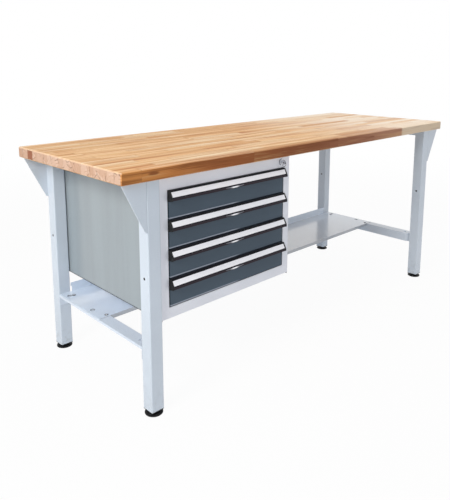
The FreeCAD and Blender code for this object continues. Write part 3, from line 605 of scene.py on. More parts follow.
def handle_plastic():
    """Extruded profile: black bead, purplish lip, draw lines along X."""
    finish = Finish("handle_plastic_drawn")
    drop = DRAWER_PITCH - height_in_pitch(finish, handle_high.z)
    lip = finish.between(drop, LIP_START, LIP_FULL)
    line_place = finish.vector(finish.x * LINES_ALONG, finish.y * LINES_ACROSS, finish.z * LINES_ACROSS)
    lines = finish.noise(line_place)
    tone = finish.mix(shade(8, 10, 20), shade(50, 42, 50), lip)
    finish.set("Base Color", finish.mark(tone, shade(10, 11, 14), lines, share=0.35))
    finish.set("Specular IOR Level", HANDLE_GLINT)
    finish.dull(lines, least=0.36, span=0.15)
    finish.relief(lines, depth=0.00003, edge=PLASTIC_EDGE)
    return finish


print("handle height:", round(handle_high.z - handle_low.z, 4))

# %% [markdown]
# End caps, feet and the caps in the leg tubes are moulded black plastic with the fine grain of a
# spark-eroded mould and a little dust. The labels are blank white card under a thin clear film: the
# fibres are noise stretched along X, and a weak clear coat stands for the film.

# %% Moulded plastic and label card
GRAIN_SCALE = 1400.0
DUST_SCALE = 60.0
MOULDED_GLINT = 0.3
FIBRE_SCALES = Vector((40.0, 200.0, 200.0))
FILM_WEIGHT = 0.3
CARD_EDGE = 0.0003


def moulded_black():
    """Black moulded plastic with a fine grain."""
    finish = Finish("moulded_black")
    grain = finish.noise(finish.place, GRAIN_SCALE)
    dust = finish.between(finish.noise(finish.place, DUST_SCALE, detail=4.0), 0.5, 0.8)
    finish.set("Base Color", finish.mark(shade(16, 17, 20), shade(40, 40, 42), dust, share=0.4))
    finish.set("Specular IOR Level", MOULDED_GLINT)
    finish.dull(grain, least=0.42, span=0.2)
    finish.relief(grain, depth=0.00005, edge=PLASTIC_EDGE)
    return finish


def label_card():
    """Blank white card under a thin clear film."""
    finish = Finish("label_card")
    fibres = finish.noise(finish.place * FIBRE_SCALES, detail=3.0)
    finish.set("Base Color", finish.mix(shade(246, 246, 254), shade(253, 253, 255), fibres))
    finish.dull(fibres, least=0.30, span=0.1)
    finish.set("Coat Weight", FILM_WEIGHT)
    finish.relief(fibres, depth=0.00002, edge=CARD_EDGE)
    return finish


print("grain is about", round(1000 / GRAIN_SCALE, 2), "mm wide")

# %% [markdown]
# Screws, stems and slides are plated with zinc, which shows a faint crystal spangle. Metals show little
# but what they reflect, so the white studio does most of the work, and the recipes of metals only break
# up the gloss. Voronoi cells give the spangle, one random value per crystal.

# %% Zinc
METAL_DEPTH = 0.00002
METAL_EDGE = 0.0004
SPANGLE_SCALE = 260.0


def zinc_plate():
    """Bright zinc with faint spangles."""
    finish = Finish("zinc_plate")
    cells = {"Vector": finish.place, "Scale": SPANGLE_SCALE}
    spangle = finish.axes(finish.node("ShaderNodeTexVoronoi", None, cells, "Color"))[0]
    finish.set("Base Color", finish.mix(shade(188, 192, 198), shade(216, 218, 222), spangle))
    finish.set("Metallic", 1.0)
    finish.dull(spangle, least=0.26, span=0.18)
    finish.relief(spangle, METAL_DEPTH, METAL_EDGE)
    return finish


print("spangles are about", round(1000 / SPANGLE_SCALE, 1), "mm wide")

# %% [markdown]
# The finger plates of the handles are aluminium, brushed along their length. In the photograph each is
# bright in the middle and darker towards its ends. Reflections alone do not bring that out here, so a mask
# on the distance from the plate's middle paints shade on the ends, and the brushing is stretched noise.

# %% Brushed aluminium
catch_low, catch_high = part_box("handle_catch_1")
CATCH_MIDDLE = (catch_low.x + catch_high.x) / 2
CATCH_REACH = (catch_high.x - catch_low.x) / 2
CATCH_EDGE = 0.0005
SHADE_START = 0.12 * CATCH_REACH
SHADE_FULL = 0.55 * CATCH_REACH
BRUSH_ALONG = 60.0
BRUSH_ACROSS = 3000.0


def brushed_aluminium():
    """Finger plate brushed along its length, with painted shade towards its ends."""
    finish = Finish("brushed_aluminium")
    shaded_ends = finish.between((finish.x - CATCH_MIDDLE).math("ABSOLUTE"), SHADE_START, SHADE_FULL)
    brush_place = finish.vector(finish.x * BRUSH_ALONG, finish.y * BRUSH_ACROSS, finish.z * BRUSH_ACROSS)
    brush = finish.noise(brush_place, detail=3.0)
    bright = finish.mix(shade(226, 228, 233), shade(245, 246, 250), brush)
    # Painted shade towards the ends of the plate.
    finish.set("Base Color", finish.mark(bright, shade(92, 94, 104), shaded_ends, share=0.9))
    finish.set("Metallic", 1.0)
    finish.dull(brush, least=0.28, span=0.2)
    finish.relief(brush, METAL_DEPTH, CATCH_EDGE)
    return finish


print("finger plate:", round(2 * CATCH_REACH, 4), "m long")

# %% [markdown]
# Lock and key are plated with nickel, smooth but marked by handling. Painted shade darkens the thin edges
# of the key, which draws its outline as in the photograph. They are found by direction: the broad sides of
# the bow face along X and its edges do not, and a mask on Y keeps the painted shade off the lock itself.

# %% Nickel
MARKS_SCALE = 420.0
BOW_START = lock_low.y - 0.0005
BOW_FULL = BOW_START - 0.001


def lock_nickel():
    """Nickel plate with handling marks, and painted shade on the thin edges of the key."""
    finish = Finish("nickel_plate")
    marks = finish.noise(finish.place, MARKS_SCALE, detail=5.0)
    sideways = finish.facing()[0].math("ABSOLUTE")
    # Painted shade on the thin edges of the key.
    edge = finish.between(sideways, 0.6, 0.3) * finish.between(finish.y, BOW_START, BOW_FULL)
    plate = finish.mix(shade(196, 198, 204), shade(216, 218, 224), marks)
    finish.set("Base Color", finish.mix(plate, shade(24, 25, 29), edge))
    finish.set("Metallic", 1.0)
    finish.dull(marks, least=0.26, span=0.25)
    finish.relief(marks, METAL_DEPTH, METAL_EDGE)
    return finish


print("handling marks are about", round(1000 / MARKS_SCALE, 1), "mm wide")

# %% [markdown]
# The top is glued from beech staves: rows as wide as a thumb that run along X, each a chain of pieces
# of uneven length with its own tone. An image would be the quick way, but staves can be worked out: a
# row number comes from Y, a stave number from X shifted and stretched by row, and white noise turns
# that number into a tone. The rows are fitted a hair inside the board, so that both long edges belong to
# the outer rows.

# %% Stave layout
top_low, top_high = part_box("tabletop")
TOP_LENGTH = top_high.x - top_low.x
STAVE_ROWS = 18
STAVE_WIDTH = (top_high.y - top_low.y) / STAVE_ROWS
ROW_FIT = 0.999
ROW_START = 0.01
STAVE_LENGTH = 0.42
ROW_SHIFT = 9.7
UNEVEN_RATE = 3.7
UNEVEN_SHARE = 0.2
STAVES_IN_ROW = 53.0


def whole(value):
    """The whole number at or below a value."""
    return value.math("FLOOR")


def from_middle(share):
    """Distance of a running number from the middle of its whole step, 0 to 0.5."""
    return (share.math("FRACT") - 0.5).math("ABSOLUTE")


def stave_layout(wood):
    """Row and stave numbers of a point, and how near it lies to a glue line."""
    rows = (wood.y - top_low.y) * (ROW_FIT / STAVE_WIDTH) + ROW_START
    row = whole(rows)
    luck = wood.chance(row)
    along = (wood.x - top_low.x) / STAVE_LENGTH + luck * ROW_SHIFT
    along = along + (along * UNEVEN_RATE + luck * ROW_SHIFT).math("SINE") * UNEVEN_SHARE
    stave = whole(along) + row * STAVES_IN_ROW
    side_glue = wood.between(from_middle(rows), 0.478, 0.494)
    butt_glue = wood.between(from_middle(along), 0.4960, 0.4985)
    return row, stave, side_glue.math("MAXIMUM", butt_glue)


print("stave width:", round(STAVE_WIDTH, 4))

# %% [markdown]
# Beech has two scales of figure: broad streaks as wide as a finger, and fine lines that run the length of
# a stave. Both are noise, stretched along X and shifted from stave to stave so that no streak runs on
# across a glue line. A weighted sum of the two gives each point one number, from dark to light.

# %% Figure of the long faces
BROAD_ALONG = 2.4
BROAD_ACROSS = 62.0
FINE_ALONG = 8.0
FINE_ACROSS = 380.0
BROAD_SHARE = 0.60


def figure(wood, shift):
    """Broad and fine streaks of the long faces, about 0.3 dark to 0.7 light."""
    broad_place = wood.vector(wood.x * BROAD_ALONG + shift, wood.y * BROAD_ACROSS,
                              wood.z * BROAD_ACROSS + shift)
    fine_place = wood.vector(wood.x * FINE_ALONG + shift, wood.y * FINE_ACROSS, wood.z * FINE_ACROSS)
    broad = wood.noise(broad_place, detail=3.0)
    fine = wood.noise(fine_place, detail=3.0)
    return broad * BROAD_SHARE + fine * (1 - BROAD_SHARE)


print("fine lines are about", round(1000 / FINE_ACROSS, 1), "mm wide")

# %% [markdown]
# A colour ramp turns the figure into wood, and each stave multiplies it by a tint of its own. In the
# photograph the top grows paler towards the right, stave by stave: here that is a painted reflection of
# the white studio, stronger on some staves than on others. Two rows near the right front corner are
# browner than the rest. Painted masks would do, but masks from row, stave and X need no image.

# %% Upper face
FIGURE_TONES = (
    (0.34, shade(188, 126, 86)), (0.43, shade(220, 173, 130)), (0.51, shade(236, 200, 158)),
    (0.64, shade(250, 228, 198)))
STAVE_TINTS = (
    (0.00, shade(255, 246, 232)), (0.18, shade(244, 228, 208)), (0.36, shade(255, 255, 252)),
    (0.52, shade(250, 236, 216)), (0.66, shade(236, 212, 186)), (0.80, shade(255, 250, 244)),
    (0.93, shade(224, 192, 164)))
SHEEN_START = top_low.x + 0.45 * TOP_LENGTH
SHEEN_FULL = top_low.x + 0.90 * TOP_LENGTH
SHEEN_LEAST = 0.20
SHEEN_SEED = 77.0
BROWN_START = top_low.x + 0.57 * TOP_LENGTH
BROWN_END = top_low.x + 0.77 * TOP_LENGTH
BROWN_SOFT = 0.005
BROWN_ROWS = 2


def below(wood, number, count):
    """1 where a whole number is less than count, 0 elsewhere."""
    return wood.between(number, count - 0.4, count - 0.6)


def board_tone(wood, row, stave, streaks):
    """Colour of the upper and lower faces, with a painted reflection growing towards the right and a patch
    of brown staves near the right front corner.
    """
    tint_of_stave = wood.ramp(wood.chance(stave), STAVE_TINTS, steps=True)
    tone = wood.mix(wood.ramp(streaks, FIGURE_TONES), tint_of_stave, 1.0, "MULTIPLY")
    # Painted reflection, paler towards the right and stronger on some staves.
    luck = wood.chance(stave + SHEEN_SEED) * (1 - SHEEN_LEAST) + SHEEN_LEAST
    tone = wood.mix(tone, shade(253, 238, 218), wood.between(wood.x, SHEEN_START, SHEEN_FULL) * luck)
    brown = below(wood, row, BROWN_ROWS)
    brown = brown * wood.between(wood.x, BROWN_START - BROWN_SOFT, BROWN_START)
    brown = brown * wood.between(wood.x, BROWN_END + BROWN_SOFT, BROWN_END)
    return wood.mark(tone, shade(186, 132, 96), brown, share=0.5)


print("figure tones:", len(FIGURE_TONES), "stave tints:", len(STAVE_TINTS))

# %% [markdown]
# In the photograph the front edge drifts from golden at the left corner through brown to a rosy tone, and
# ends in one pale stave; a small knot sits near the left corner. Chance would not fall that way, so a ramp
# along the edge is given, and the figure's streaks darken and lighten it. The knot is a stretched circle,
# its rim made ragged by the same streaks.

# %% Front edge
PALE_STAVE = 0.80
STAVE_STEP = 0.005
FRONT_TONES = (
    (0.00, shade(226, 154, 84)), (0.09, shade(214, 140, 76)), (0.18, shade(172, 104, 58)),
    (0.40, shade(140, 82, 52)), (0.60, shade(168, 116, 90)),
    (PALE_STAVE - STAVE_STEP, shade(204, 156, 130)), (PALE_STAVE, shade(255, 237, 209)))
STREAKS_ON_PALE = 0.20
STREAKS_ON_BROWN = 0.65
KNOT_X = top_low.x + 0.118
KNOT_Z = top_high.z - 0.017
KNOT_HEIGHT = 0.0072
KNOT_STRETCH = 0.26
KNOT_SOFT = 0.002
KNOT_RAGGED = 0.004


def front_tone(wood, streaks):
    """Colour of the front edge: a drift from golden to brown, one pale stave, streaks and a knot."""
    span = (wood.x - top_low.x) / TOP_LENGTH
    on_brown = wood.between(span, PALE_STAVE, PALE_STAVE - STAVE_STEP)
    depth = on_brown * (STREAKS_ON_BROWN - STREAKS_ON_PALE) + STREAKS_ON_PALE
    tone = wood.ramp(span, FRONT_TONES)
    tone = wood.mark(tone, shade(112, 62, 34), wood.between(streaks, 0.50, 0.36), share=depth)
    tone = wood.mark(tone, shade(240, 200, 142), wood.between(streaks, 0.52, 0.66), share=0.45)
    off_knot = wood.length(wood.vector((wood.x - KNOT_X) * KNOT_STRETCH, 0.0, wood.z - KNOT_Z))
    ragged = off_knot + streaks * KNOT_RAGGED
    knot = wood.between(ragged, KNOT_HEIGHT + KNOT_SOFT, KNOT_HEIGHT - KNOT_SOFT)
    return wood.mark(tone, shade(112, 54, 26), knot, share=0.75)


print("the pale stave is", round((1 - PALE_STAVE) * TOP_LENGTH, 3), "m long")

# %% [markdown]
# The sawn ends show growth rings, arcs about a heart that lies outside each stave, with pores, blotches
# and a few drying cracks. Rings are the sine of the distance to the heart, and cracks are the edges of
# Voronoi cells. One stave near the back is much darker than the rest, and a narrow painted highlight runs
# along the eased upper edge of both ends.

# %% Sawn ends
DARK_END_ROW = 15.0
HEART_SEED = 211.0
HEART_SPREAD = 3.0
HEART_BACK = 1.0
HEART_RISE = 0.06
HEART_LOW = top_low.z - 0.05
RING_RATE = 480.0
RING_WOBBLE = 9.0
BLOTCH_SCALE = 34.0
CRACK_SCALE = 22.0
CRACK_BEND = 0.02
PORE_SCALE = 480.0
END_HIGHLIGHT = 0.006
END_HIGHLIGHT_SOFT = 0.5 * END_HIGHLIGHT


def end_tone(wood, row):
    """Colour of the sawn ends: growth rings about each stave's own heart."""
    luck = wood.chance(row + HEART_SEED)
    heart_y = (row + luck * HEART_SPREAD - HEART_BACK) * STAVE_WIDTH + top_low.y
    heart_z = luck * HEART_RISE + HEART_LOW
    reach = wood.length(wood.vector(0.0, wood.y - heart_y, wood.z - heart_z))
    blotches = wood.noise(wood.place, BLOTCH_SCALE, detail=4.0)
    wave = (reach * RING_RATE + blotches * RING_WOBBLE).math("SINE")
    rings = wood.between(wave, 0.55, 0.98) * wood.between(blotches, 0.42, 0.62)
    cells = {"Vector": wood.place + blotches * CRACK_BEND, "Scale": CRACK_SCALE}
    cracks = wood.node("ShaderNodeTexVoronoi", {"feature": "DISTANCE_TO_EDGE"}, cells)
    cracks = wood.between(cracks, 0.035, 0.012) * wood.between(blotches, 0.46, 0.54)
    pores = wood.between(wood.noise(wood.place, PORE_SCALE), 0.55, 0.70)
    tone = wood.mix(shade(213, 182, 160), shade(198, 161, 136), luck)
    tone = wood.mark(tone, shade(225, 199, 179), wood.between(blotches, 0.52, 0.66), share=0.6)
    tone = wood.mark(tone, shade(168, 114, 86), rings, share=0.5)
    tone = wood.mark(tone, shade(96, 58, 44), cracks, share=0.6)
    tone = wood.mark(tone, shade(170, 122, 94), pores, share=0.3)
    dark_row = below(wood, (row - DARK_END_ROW).math("ABSOLUTE"), 1)
    return wood.mark(tone, shade(146, 88, 62), dark_row, share=0.85)


def end_highlight(wood):
    """1 on the painted highlight along the upper edge of both sawn ends."""
    off = (wood.x - (top_low.x + top_high.x) / 2).math("ABSOLUTE")
    reach = TOP_LENGTH / 2
    along_end = wood.between(off, reach - END_HIGHLIGHT, reach - END_HIGHLIGHT_SOFT)
    return along_end * wood.between(wood.z, top_high.z - END_HIGHLIGHT, top_high.z - END_HIGHLIGHT_SOFT)


print("growth rings are", round(2 * math.pi / RING_RATE * 1000, 1), "mm apart")

# %% [markdown]
# One board shows long grain above, a front edge and sawn ends, so one finish holds all three and the
# direction of the surface chooses between them. Short dark flecks, which mark beech, and the glue lines
# go over the top. The oiled surface is nearly matt, with a slight relief of its streaks and glue lines.

# %% Beech
FLECK_ALONG = 110.0
FLECK_ACROSS = 800.0
SHIFT_PER_STAVE = 0.37
FRONT_ROW_SHARE = 0.3
OILED_GLINT = 0.12


def beech_staves():
    """Oiled beech: figured staves, flecks, glue lines, a front edge, sawn ends and painted highlights on
    the end rims.
    """
    wood = Finish("beech_staves")
    row, stave, glue = stave_layout(wood)
    shift = stave * SHIFT_PER_STAVE
    streaks = figure(wood, shift)
    fleck_place = wood.vector(wood.x * FLECK_ALONG + shift, wood.y * FLECK_ACROSS, wood.z * FLECK_ACROSS)
    flecks = wood.between(wood.noise(fleck_place, detail=1.0), 0.62, 0.72)
    facing_x, facing_y, _ = wood.facing()
    tone = wood.mark(board_tone(wood, row, stave, streaks), shade(150, 94, 58), flecks, share=0.30)
    front_row = below(wood, row, 1) * FRONT_ROW_SHARE
    on_front = wood.between(facing_y, -0.6, -0.8).math("MAXIMUM", front_row)
    tone = wood.mix(tone, front_tone(wood, streaks), on_front)
    tone = wood.mix(tone, end_tone(wood, row), wood.between(facing_x.math("ABSOLUTE"), 0.75, 0.85))
    tone = wood.mark(tone, shade(128, 80, 50), glue, share=0.35)
    # Painted highlight along the upper edge of both ends.
    wood.set("Base Color", wood.mark(tone, shade(242, 214, 184), end_highlight(wood), share=0.5))
    wood.dull(streaks, least=0.55, span=0.20)
    wood.set("Specular IOR Level", OILED_GLINT)
    wood.relief(streaks - glue, depth=0.00010, edge=0.0006)
    return wood


print("flecks are", round(1000 / FLECK_ACROSS, 2), "mm wide")

# %% [markdown]
# Each solid carries the name of its slot in the record as a plain material. Swapping that stand-in for
# the finish keeps the mesh as it is. A dictionary from slot to finish does it in one loop, and the new
# pieces below take their finish from the same dictionary. Shelf and lower rails get a finish of their own.

# %% Dress the solids
finishes = {
    "beech": beech_staves(), "frame_paint": frame_coat(), "cabinet_paint": cabinet_coat(),
    "drawer_paint": drawer_coat(), "tray_paint": tray_coat(), "zinc_steel": zinc_plate(),
    "handle_plastic": handle_plastic(), "black_plastic": moulded_black(), "label_white": label_card(),
    "catch_metal": brushed_aluminium(), "lock_nickel": lock_nickel(),
}
rails = rail_coat()
own_finish = {"shelf": shelf_coat(), "lower_rail_left": rails, "lower_rail_right": rails}
slot_of = {part["node"]: part["material_slot"] for part in frame["record"]["subparts"]}
for name, solid in nodes.items():
    solid.data.materials.clear()
    solid.data.materials.append(own_finish.get(name, finishes[slot_of[name]]).material)
print("dressed:", len(nodes), "solids from", len(finishes), "slots")

# %% [markdown]
# Small pieces are skinned from rings: a ring is a loop of points round an axis at some height, and its
# radius may change with the angle. One helper then turns round pads, hexagon nuts and screw threads
# alike. Spinning a profile would be shorter for the pads but could not make a hexagon or a thread.

# %% Turned pieces
SHARP_ANGLE = math.radians(35)


def skin(bm, loops):
    """Closes a row of loops of points to one skin, with a cap at each end."""
    count = len(loops[0])
    for lower, upper in zip(loops, loops[1:]):
        for step in range(count):
            after = (step + 1) % count
            bm.faces.new((lower[step], lower[after], upper[after], upper[step]))
    bm.faces.new(loops[0])
    bm.faces.new(loops[-1])


def turned(bm, base, rings, steps, up=1.0):
    """Skins rings of (height, radius) about an upright axis; radius may be a function of the angle."""
    loops = []
    for height, radius in rings:
        loop = []
        for step in range(steps):
            angle = 2 * math.pi * step / steps
            reach = radius(angle) if callable(radius) else radius
            place = Vector((reach * math.cos(angle), reach * math.sin(angle), up * height))
            loop.append(bm.verts.new(base + place))
        loops.append(loop)
    skin(bm, loops)


def finished(name, bm, slot, body):
    """Turns a bmesh into a shown piece that rides on a body."""
    bmesh.ops.recalc_face_normals(bm, faces=bm.faces)
    mesh = bpy.data.meshes.new(name)
    bm.to_mesh(mesh)
    bm.free()
    mesh.shade_smooth()
    mesh.set_sharp_from_angle(angle=SHARP_ANGLE)
    mesh.materials.append(finishes[slot].material)
    piece = bpy.data.objects.new(name, mesh)
    bpy.context.scene.collection.objects.link(piece)
    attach(piece, body)
    return piece


print("edges stay sharp from", round(math.degrees(SHARP_ANGLE)), "degrees")

# %% [markdown]
# Nuts and screw heads are hexagons whose corners are turned off at both ends. In polar form a hexagon's
# radius is half its width over the cosine of the angle from the nearest flat's middle, and a limit on that
# radius is the turned chamfer. Cutting a cylinder with six planes would give the same with more steps.

# %% Hexagons
CHAMFER_SHARE = 0.06
CHAMFER_REACH = 1.01


def hexagon(width, limit=math.inf):
    """Radius of a hexagon of that width across flats, its corners cut back to a circle."""
    def radius(angle):
        corner = (angle % (math.pi / 3)) - math.pi / 6
        return min(width / 2 / math.cos(corner), limit)
    return radius


def chamfered_hexagon(width, start, end):
    """Rings of a hexagon nut or head with turned chamfers at both ends."""
    cut = width * CHAMFER_SHARE
    turned_off = hexagon(width, width / 2 * CHAMFER_REACH)
    full = hexagon(width)
    return [(start, turned_off), (start + cut, full), (end - cut, full), (end, turned_off)]


print("hexagon corner of a 10 mm head:", round(hexagon(0.010)(0.0) * 1000, 2), "mm")

# %% [markdown]
# A levelling foot is a black pad with a rounded rim and a shallow groove, a zinc nut and a threaded
# stem. The thread shows when the foot is screwed out, so it is real geometry: the ring's radius rises
# and falls along a helix. Pad and stem are two pieces because they have two finishes.

# %% Levelling feet
PAD_STEPS = 48
PAD_PROFILE = (
    (0.0000, 0.930), (0.0008, 0.985), (0.0018, 1.000), (0.0036, 1.000), (0.0046, 0.985), (0.0051, 0.950),
    (0.0053, 0.860), (0.0047, 0.830), (0.0047, 0.780), (0.0056, 0.750), (0.0072, 0.420), (0.0072, 0.200))
NUT_WIDTH = 0.017
NUT_LOW = 0.0072
NUT_TOP = 0.0148
STEM_RADIUS = 0.0049
# The thread's length counts from just above the nut, so that its last ring stays below the foot's top.
STEM_START = 0.0150
THREAD_PITCH = 0.0020
THREAD_DEPTH = 0.0009
THREAD_STEPS = 20
RINGS_PER_TURN = 4


def above_middle(low, high, height):
    """The point over the middle of a box at some height."""
    return Vector(((low.x + high.x) / 2, (low.y + high.y) / 2, height))


def thread_radius(height):
    """Radius of the thread at a height, as a function of the angle."""
    def radius(angle):
        turn = (height / THREAD_PITCH - angle / (2 * math.pi)) % 1.0
        return STEM_RADIUS - THREAD_DEPTH * abs(2 * turn - 1)
    return radius


for corner in ("front_left", "front_right", "rear_left", "rear_right"):
    low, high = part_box(f"foot_{corner}")
    base = above_middle(low, high, low.z)
    pad_radius = (high.x - low.x) / 2
    body = f"levelling_foot_{corner}"
    pad = bmesh.new()
    turned(pad, base, [(height, pad_radius * share) for height, share in PAD_PROFILE], PAD_STEPS)
    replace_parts(finished(f"foot_pad_{corner}", pad, "black_plastic", body), f"foot_{corner}")
    spindle = bmesh.new()
    turned(spindle, base, chamfered_hexagon(NUT_WIDTH, NUT_LOW, NUT_TOP), PAD_STEPS)
    ring_count = int((high.z - STEM_START) / THREAD_PITCH * RINGS_PER_TURN)
    levels = [NUT_TOP + step * THREAD_PITCH / RINGS_PER_TURN for step in range(ring_count)]
    turned(spindle, base, [(level, thread_radius(level)) for level in levels], THREAD_STEPS)
    finished(f"foot_spindle_{corner}", spindle, "zinc_steel", body)
print("thread turns per foot:", round(ring_count / RINGS_PER_TURN, 1))

# %% [markdown]
# Some solids repeat within one node, such as the screws. Their places are read from the mesh: points
# that lie close together, seen from above, belong to one solid, and the box of each group gives its
# place. A list of places would be shorter, but reading them keeps scene and solids in step when a size
# changes.

# %% Places of repeated solids
SCREW_APART = 0.02


def solids_of(node, apart):
    """Boxes of a node's separate solids that lie further apart than apart, seen from above."""
    groups = []
    for vertex in nodes[node].data.vertices:
        for group in groups:
            if (vertex.co - group[0]).xy.length < apart:
                group.append(vertex.co)
                break
        else:
            groups.append([vertex.co])
    boxes = []
    for group in groups:
        low = Vector([min(point[axis] for point in group) for axis in range(3)])
        high = Vector([max(point[axis] for point in group) for axis in range(3)])
        boxes.append((low, high))
    return boxes


print("screws found:", [len(solids_of(node, SCREW_APART)) for node in ("shelf_screws", "top_screws")])

# %% [markdown]
# The fixing screws have chamfered hexagon heads on a pressed washer face. Under those of the shelf lie
# dark dished washers that stand in for the shadow round each head: painted shade made as a piece. Head,
# face and shank are turned one above the other by the same helper, which can change from round to hexagon.
# A top screw hangs head down, so its heights count downwards.

# %% Screws and washers
HEAD_WIDTH = 0.0100
HEAD_LOW = 0.0006
HEAD_HEIGHT = 0.0035
HEAD_STEPS = 48
SEAT_PROFILE = ((0.0, 0.62 * HEAD_WIDTH), (0.0005, 0.62 * HEAD_WIDTH), (0.0008, 0.58 * HEAD_WIDTH))
SHANK_RADIUS = 0.0028
POINT_RADIUS = 0.5 * SHANK_RADIUS
POINT_LENGTH = 0.003
WASHER_RADIUS = 0.0068
WASHER_PROFILE = ((0.0, WASHER_RADIUS), (0.0008, WASHER_RADIUS), (0.0014, 0.66 * HEAD_WIDTH))


def screws(name, node, head_up):
    """One piece with all screws of a node, heads up or down."""
    bm = bmesh.new()
    boxes = solids_of(node, SCREW_APART)
    up = 1.0 if head_up else -1.0
    for low, high in boxes:
        base = above_middle(low, high, high.z - HEAD_HEIGHT if head_up else low.z + HEAD_HEIGHT)
        length = high.z - low.z - HEAD_HEIGHT
        shank = [(-length, POINT_RADIUS), (-length + POINT_LENGTH, SHANK_RADIUS), (0.0, SHANK_RADIUS)]
        turned(bm, base, SEAT_PROFILE, HEAD_STEPS, up)
        turned(bm, base, chamfered_hexagon(HEAD_WIDTH, HEAD_LOW, HEAD_HEIGHT), HEAD_STEPS, up)
        turned(bm, base, shank, THREAD_STEPS, up)
    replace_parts(finished(name, bm, "zinc_steel", "frame"), node)
    return len(boxes)


def shadow_washers(name, node):
    """Dished dark washers under the heads of a node's screws, standing in for the shadow round each head.
    """
    bm = bmesh.new()
    for low, high in solids_of(node, SCREW_APART):
        turned(bm, above_middle(low, high, high.z - HEAD_HEIGHT), WASHER_PROFILE, HEAD_STEPS)
    return finished(name, bm, "black_plastic", "frame")


print("shelf screws:", screws("shelf_hex_screws", "shelf_screws", True))
print("top screws:", screws("top_hex_screws", "top_screws", False))
# Dark washers in place of the shadow round the shelf screw heads: painted shade made as pieces.
shadow_washers("shelf_screw_shadow_washers", "shelf_screws")

# %% [markdown]
# The leg frames are welded. A weld is a row of overlapping drops, so a bead is a thin tube whose radius
# swells and shrinks along its length, with a thinner ring at both ends. A plain rod there would look
# like wire.

# %% Weld bead
BEAD_RADIUS = 0.0024
BEAD_THIN = 0.80
BEAD_TAPER = 0.55
BEAD_PITCH = 0.0042
BEAD_RINGS = 3
BEAD_SIDES = 8


def bead(bm, start, end):
    """A rippled weld from start to end."""
    run = end - start
    turn = run.normalized().to_track_quat("Z", "Y").to_matrix()
    count = max(2, round(run.length / BEAD_PITCH * BEAD_RINGS))
    loops = []
    for step in range(count + 1):
        swell = BEAD_THIN + (1 - BEAD_THIN) * abs(math.cos(math.pi * step / BEAD_RINGS))
        taper = BEAD_TAPER if step in (0, count) else 1.0
        loop = []
        for side in range(BEAD_SIDES):
            angle = 2 * math.pi * side / BEAD_SIDES
            ray = Vector((math.cos(angle), math.sin(angle), 0.0)) * (BEAD_RADIUS * swell * taper)
            loop.append(bm.verts.new(start + run * (step / count) + turn @ ray))
        loops.append(loop)
    skin(bm, loops)


print("drops in 100 mm of weld:", round(0.100 / BEAD_PITCH))

# %% [markdown]
# Beads close the inner corner between each gusset and its leg, and run across the top and up the inner
# side of each lower rail where it meets a leg. The ends of every run come from the boxes of gussets and
# rails, and all beads are one piece, since they share a body and a finish.

# %% Weld runs
BEAD_MARGIN = 0.001
GUSSET_APART = 0.2
GUSSET_MARGIN = 0.002

runs = []
for low, high in solids_of("gussets", GUSSET_APART):
    root = high.x if high.x < 0 else low.x
    face = high.y if high.y < 0 else low.y
    runs.append((Vector((root, face, low.z + GUSSET_MARGIN)), Vector((root, face, high.z - BEAD_MARGIN))))
for side in ("left", "right"):
    low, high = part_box(f"lower_rail_{side}")
    outer, inner = (low.x, high.x) if side == "left" else (high.x, low.x)
    for end in (low.y, high.y):
        runs.append((Vector((outer, end, high.z)), Vector((inner, end, high.z))))
        runs.append((Vector((inner, end, low.z + BEAD_MARGIN)), Vector((inner, end, high.z))))
seams = bmesh.new()
for start, end in runs:
    bead(seams, start, end)
finished("weld_beads", seams, "frame_paint", "frame")
print("weld beads:", len(runs))

# %% [markdown]
# A thin black strip runs along the lower edge of each side panel of the drawer unit, where the photograph
# shows a dark line. It stands in for the shadow under that edge: painted shade made as a piece, a rounded
# profile below the panel, drawn as a short section pulled along the edge. A painted line would vanish as
# soon as the edge is seen from below.

# %% Lower edge strips
STRIP_HEIGHT = 0.0046
STRIP_WIDTH = 0.0040
STRIP_LEAN = 0.7
STRIP_PROUD = 0.0004
STRIP_MARGIN = 0.001
STRIP_ROUND = 5


def strip_section():
    """Points of the rounded section: distance outwards and height, from its upper inner corner."""
    section = [(0.0, 0.0)]
    for step in range(STRIP_ROUND + 1):
        share = step / STRIP_ROUND
        angle = math.pi / 2 * share
        reach = 1 - (1 - STRIP_LEAN) * (1 - math.cos(angle)) - STRIP_LEAN * share
        section.append((STRIP_WIDTH * reach, -STRIP_HEIGHT * math.sin(angle)))
    return section


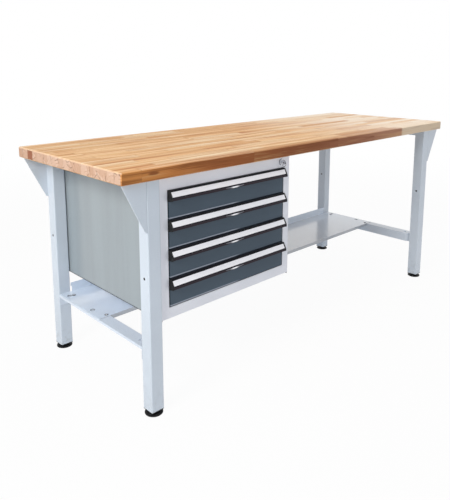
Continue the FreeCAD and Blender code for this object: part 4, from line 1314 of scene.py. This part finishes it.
def shadow_strip(name, node, outside):
    """Rounded black strip under a side panel, standing in for its shadow line; outside is the sign of the
    panel's outer side.
    """
    low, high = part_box(node)
    inner = (low.x if outside < 0 else high.x) - outside * (STRIP_WIDTH - STRIP_PROUD)
    bm = bmesh.new()
    loops = []
    for y in (low.y + STRIP_MARGIN, high.y - STRIP_MARGIN):
        loops.append([bm.verts.new((inner + outside * u, y, low.z + v)) for u, v in strip_section()])
    skin(bm, loops)
    return finished(name, bm, "black_plastic", "frame")


# Black strips in place of the shadow line under each panel: painted shade made as pieces.
shadow_strip("shadow_strip_left", "cabinet_side_left", -1)
shadow_strip("shadow_strip_right", "cabinet_side_right", 1)
print("points in a strip's section:", len(strip_section()))

# %% [markdown]
# A split ring hangs from the bow of the key. It is a coil of wire two turns deep, so it is drawn as a
# short helix that is swept with a round section. A torus would be simpler but would show no split. The
# ring rides with the key.

# %% Key ring
RING_RADIUS = 0.0085
RING_WIRE = 0.0008
RING_TURNS = 2
RING_STEPS = 40
COIL_PITCH = 2.2 * RING_WIRE
WIRE_SIDES = 8
BOW_HOLE = 0.0050
RING_BITE = 0.0005

key_low, key_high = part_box("lock_key")
bow_middle = Vector(((key_low.x + key_high.x) / 2, key_low.y + BOW_HOLE, (key_low.z + key_high.z) / 2))
ring_middle = bow_middle - Vector((0.0, 0.0, RING_RADIUS - RING_BITE))
ring = bmesh.new()
coil = []
coil_steps = RING_STEPS * RING_TURNS
for step in range(coil_steps + 1):
    angle = 2 * math.pi * step / RING_STEPS
    drift = (step / coil_steps - 0.5) * COIL_PITCH * RING_TURNS
    radial = Vector((math.sin(angle), 0.0, math.cos(angle)))
    loop = []
    for side in range(WIRE_SIDES):
        turn = 2 * math.pi * side / WIRE_SIDES
        outwards = radial * (RING_RADIUS + RING_WIRE * math.cos(turn))
        along = Vector((0.0, drift + RING_WIRE * math.sin(turn), 0.0))
        loop.append(ring.verts.new(ring_middle + outwards + along))
    coil.append(loop)
skin(ring, coil)
finished("key_ring", ring, "lock_nickel", "key")
print("ring hangs to", round(ring_middle.z - RING_RADIUS, 4))
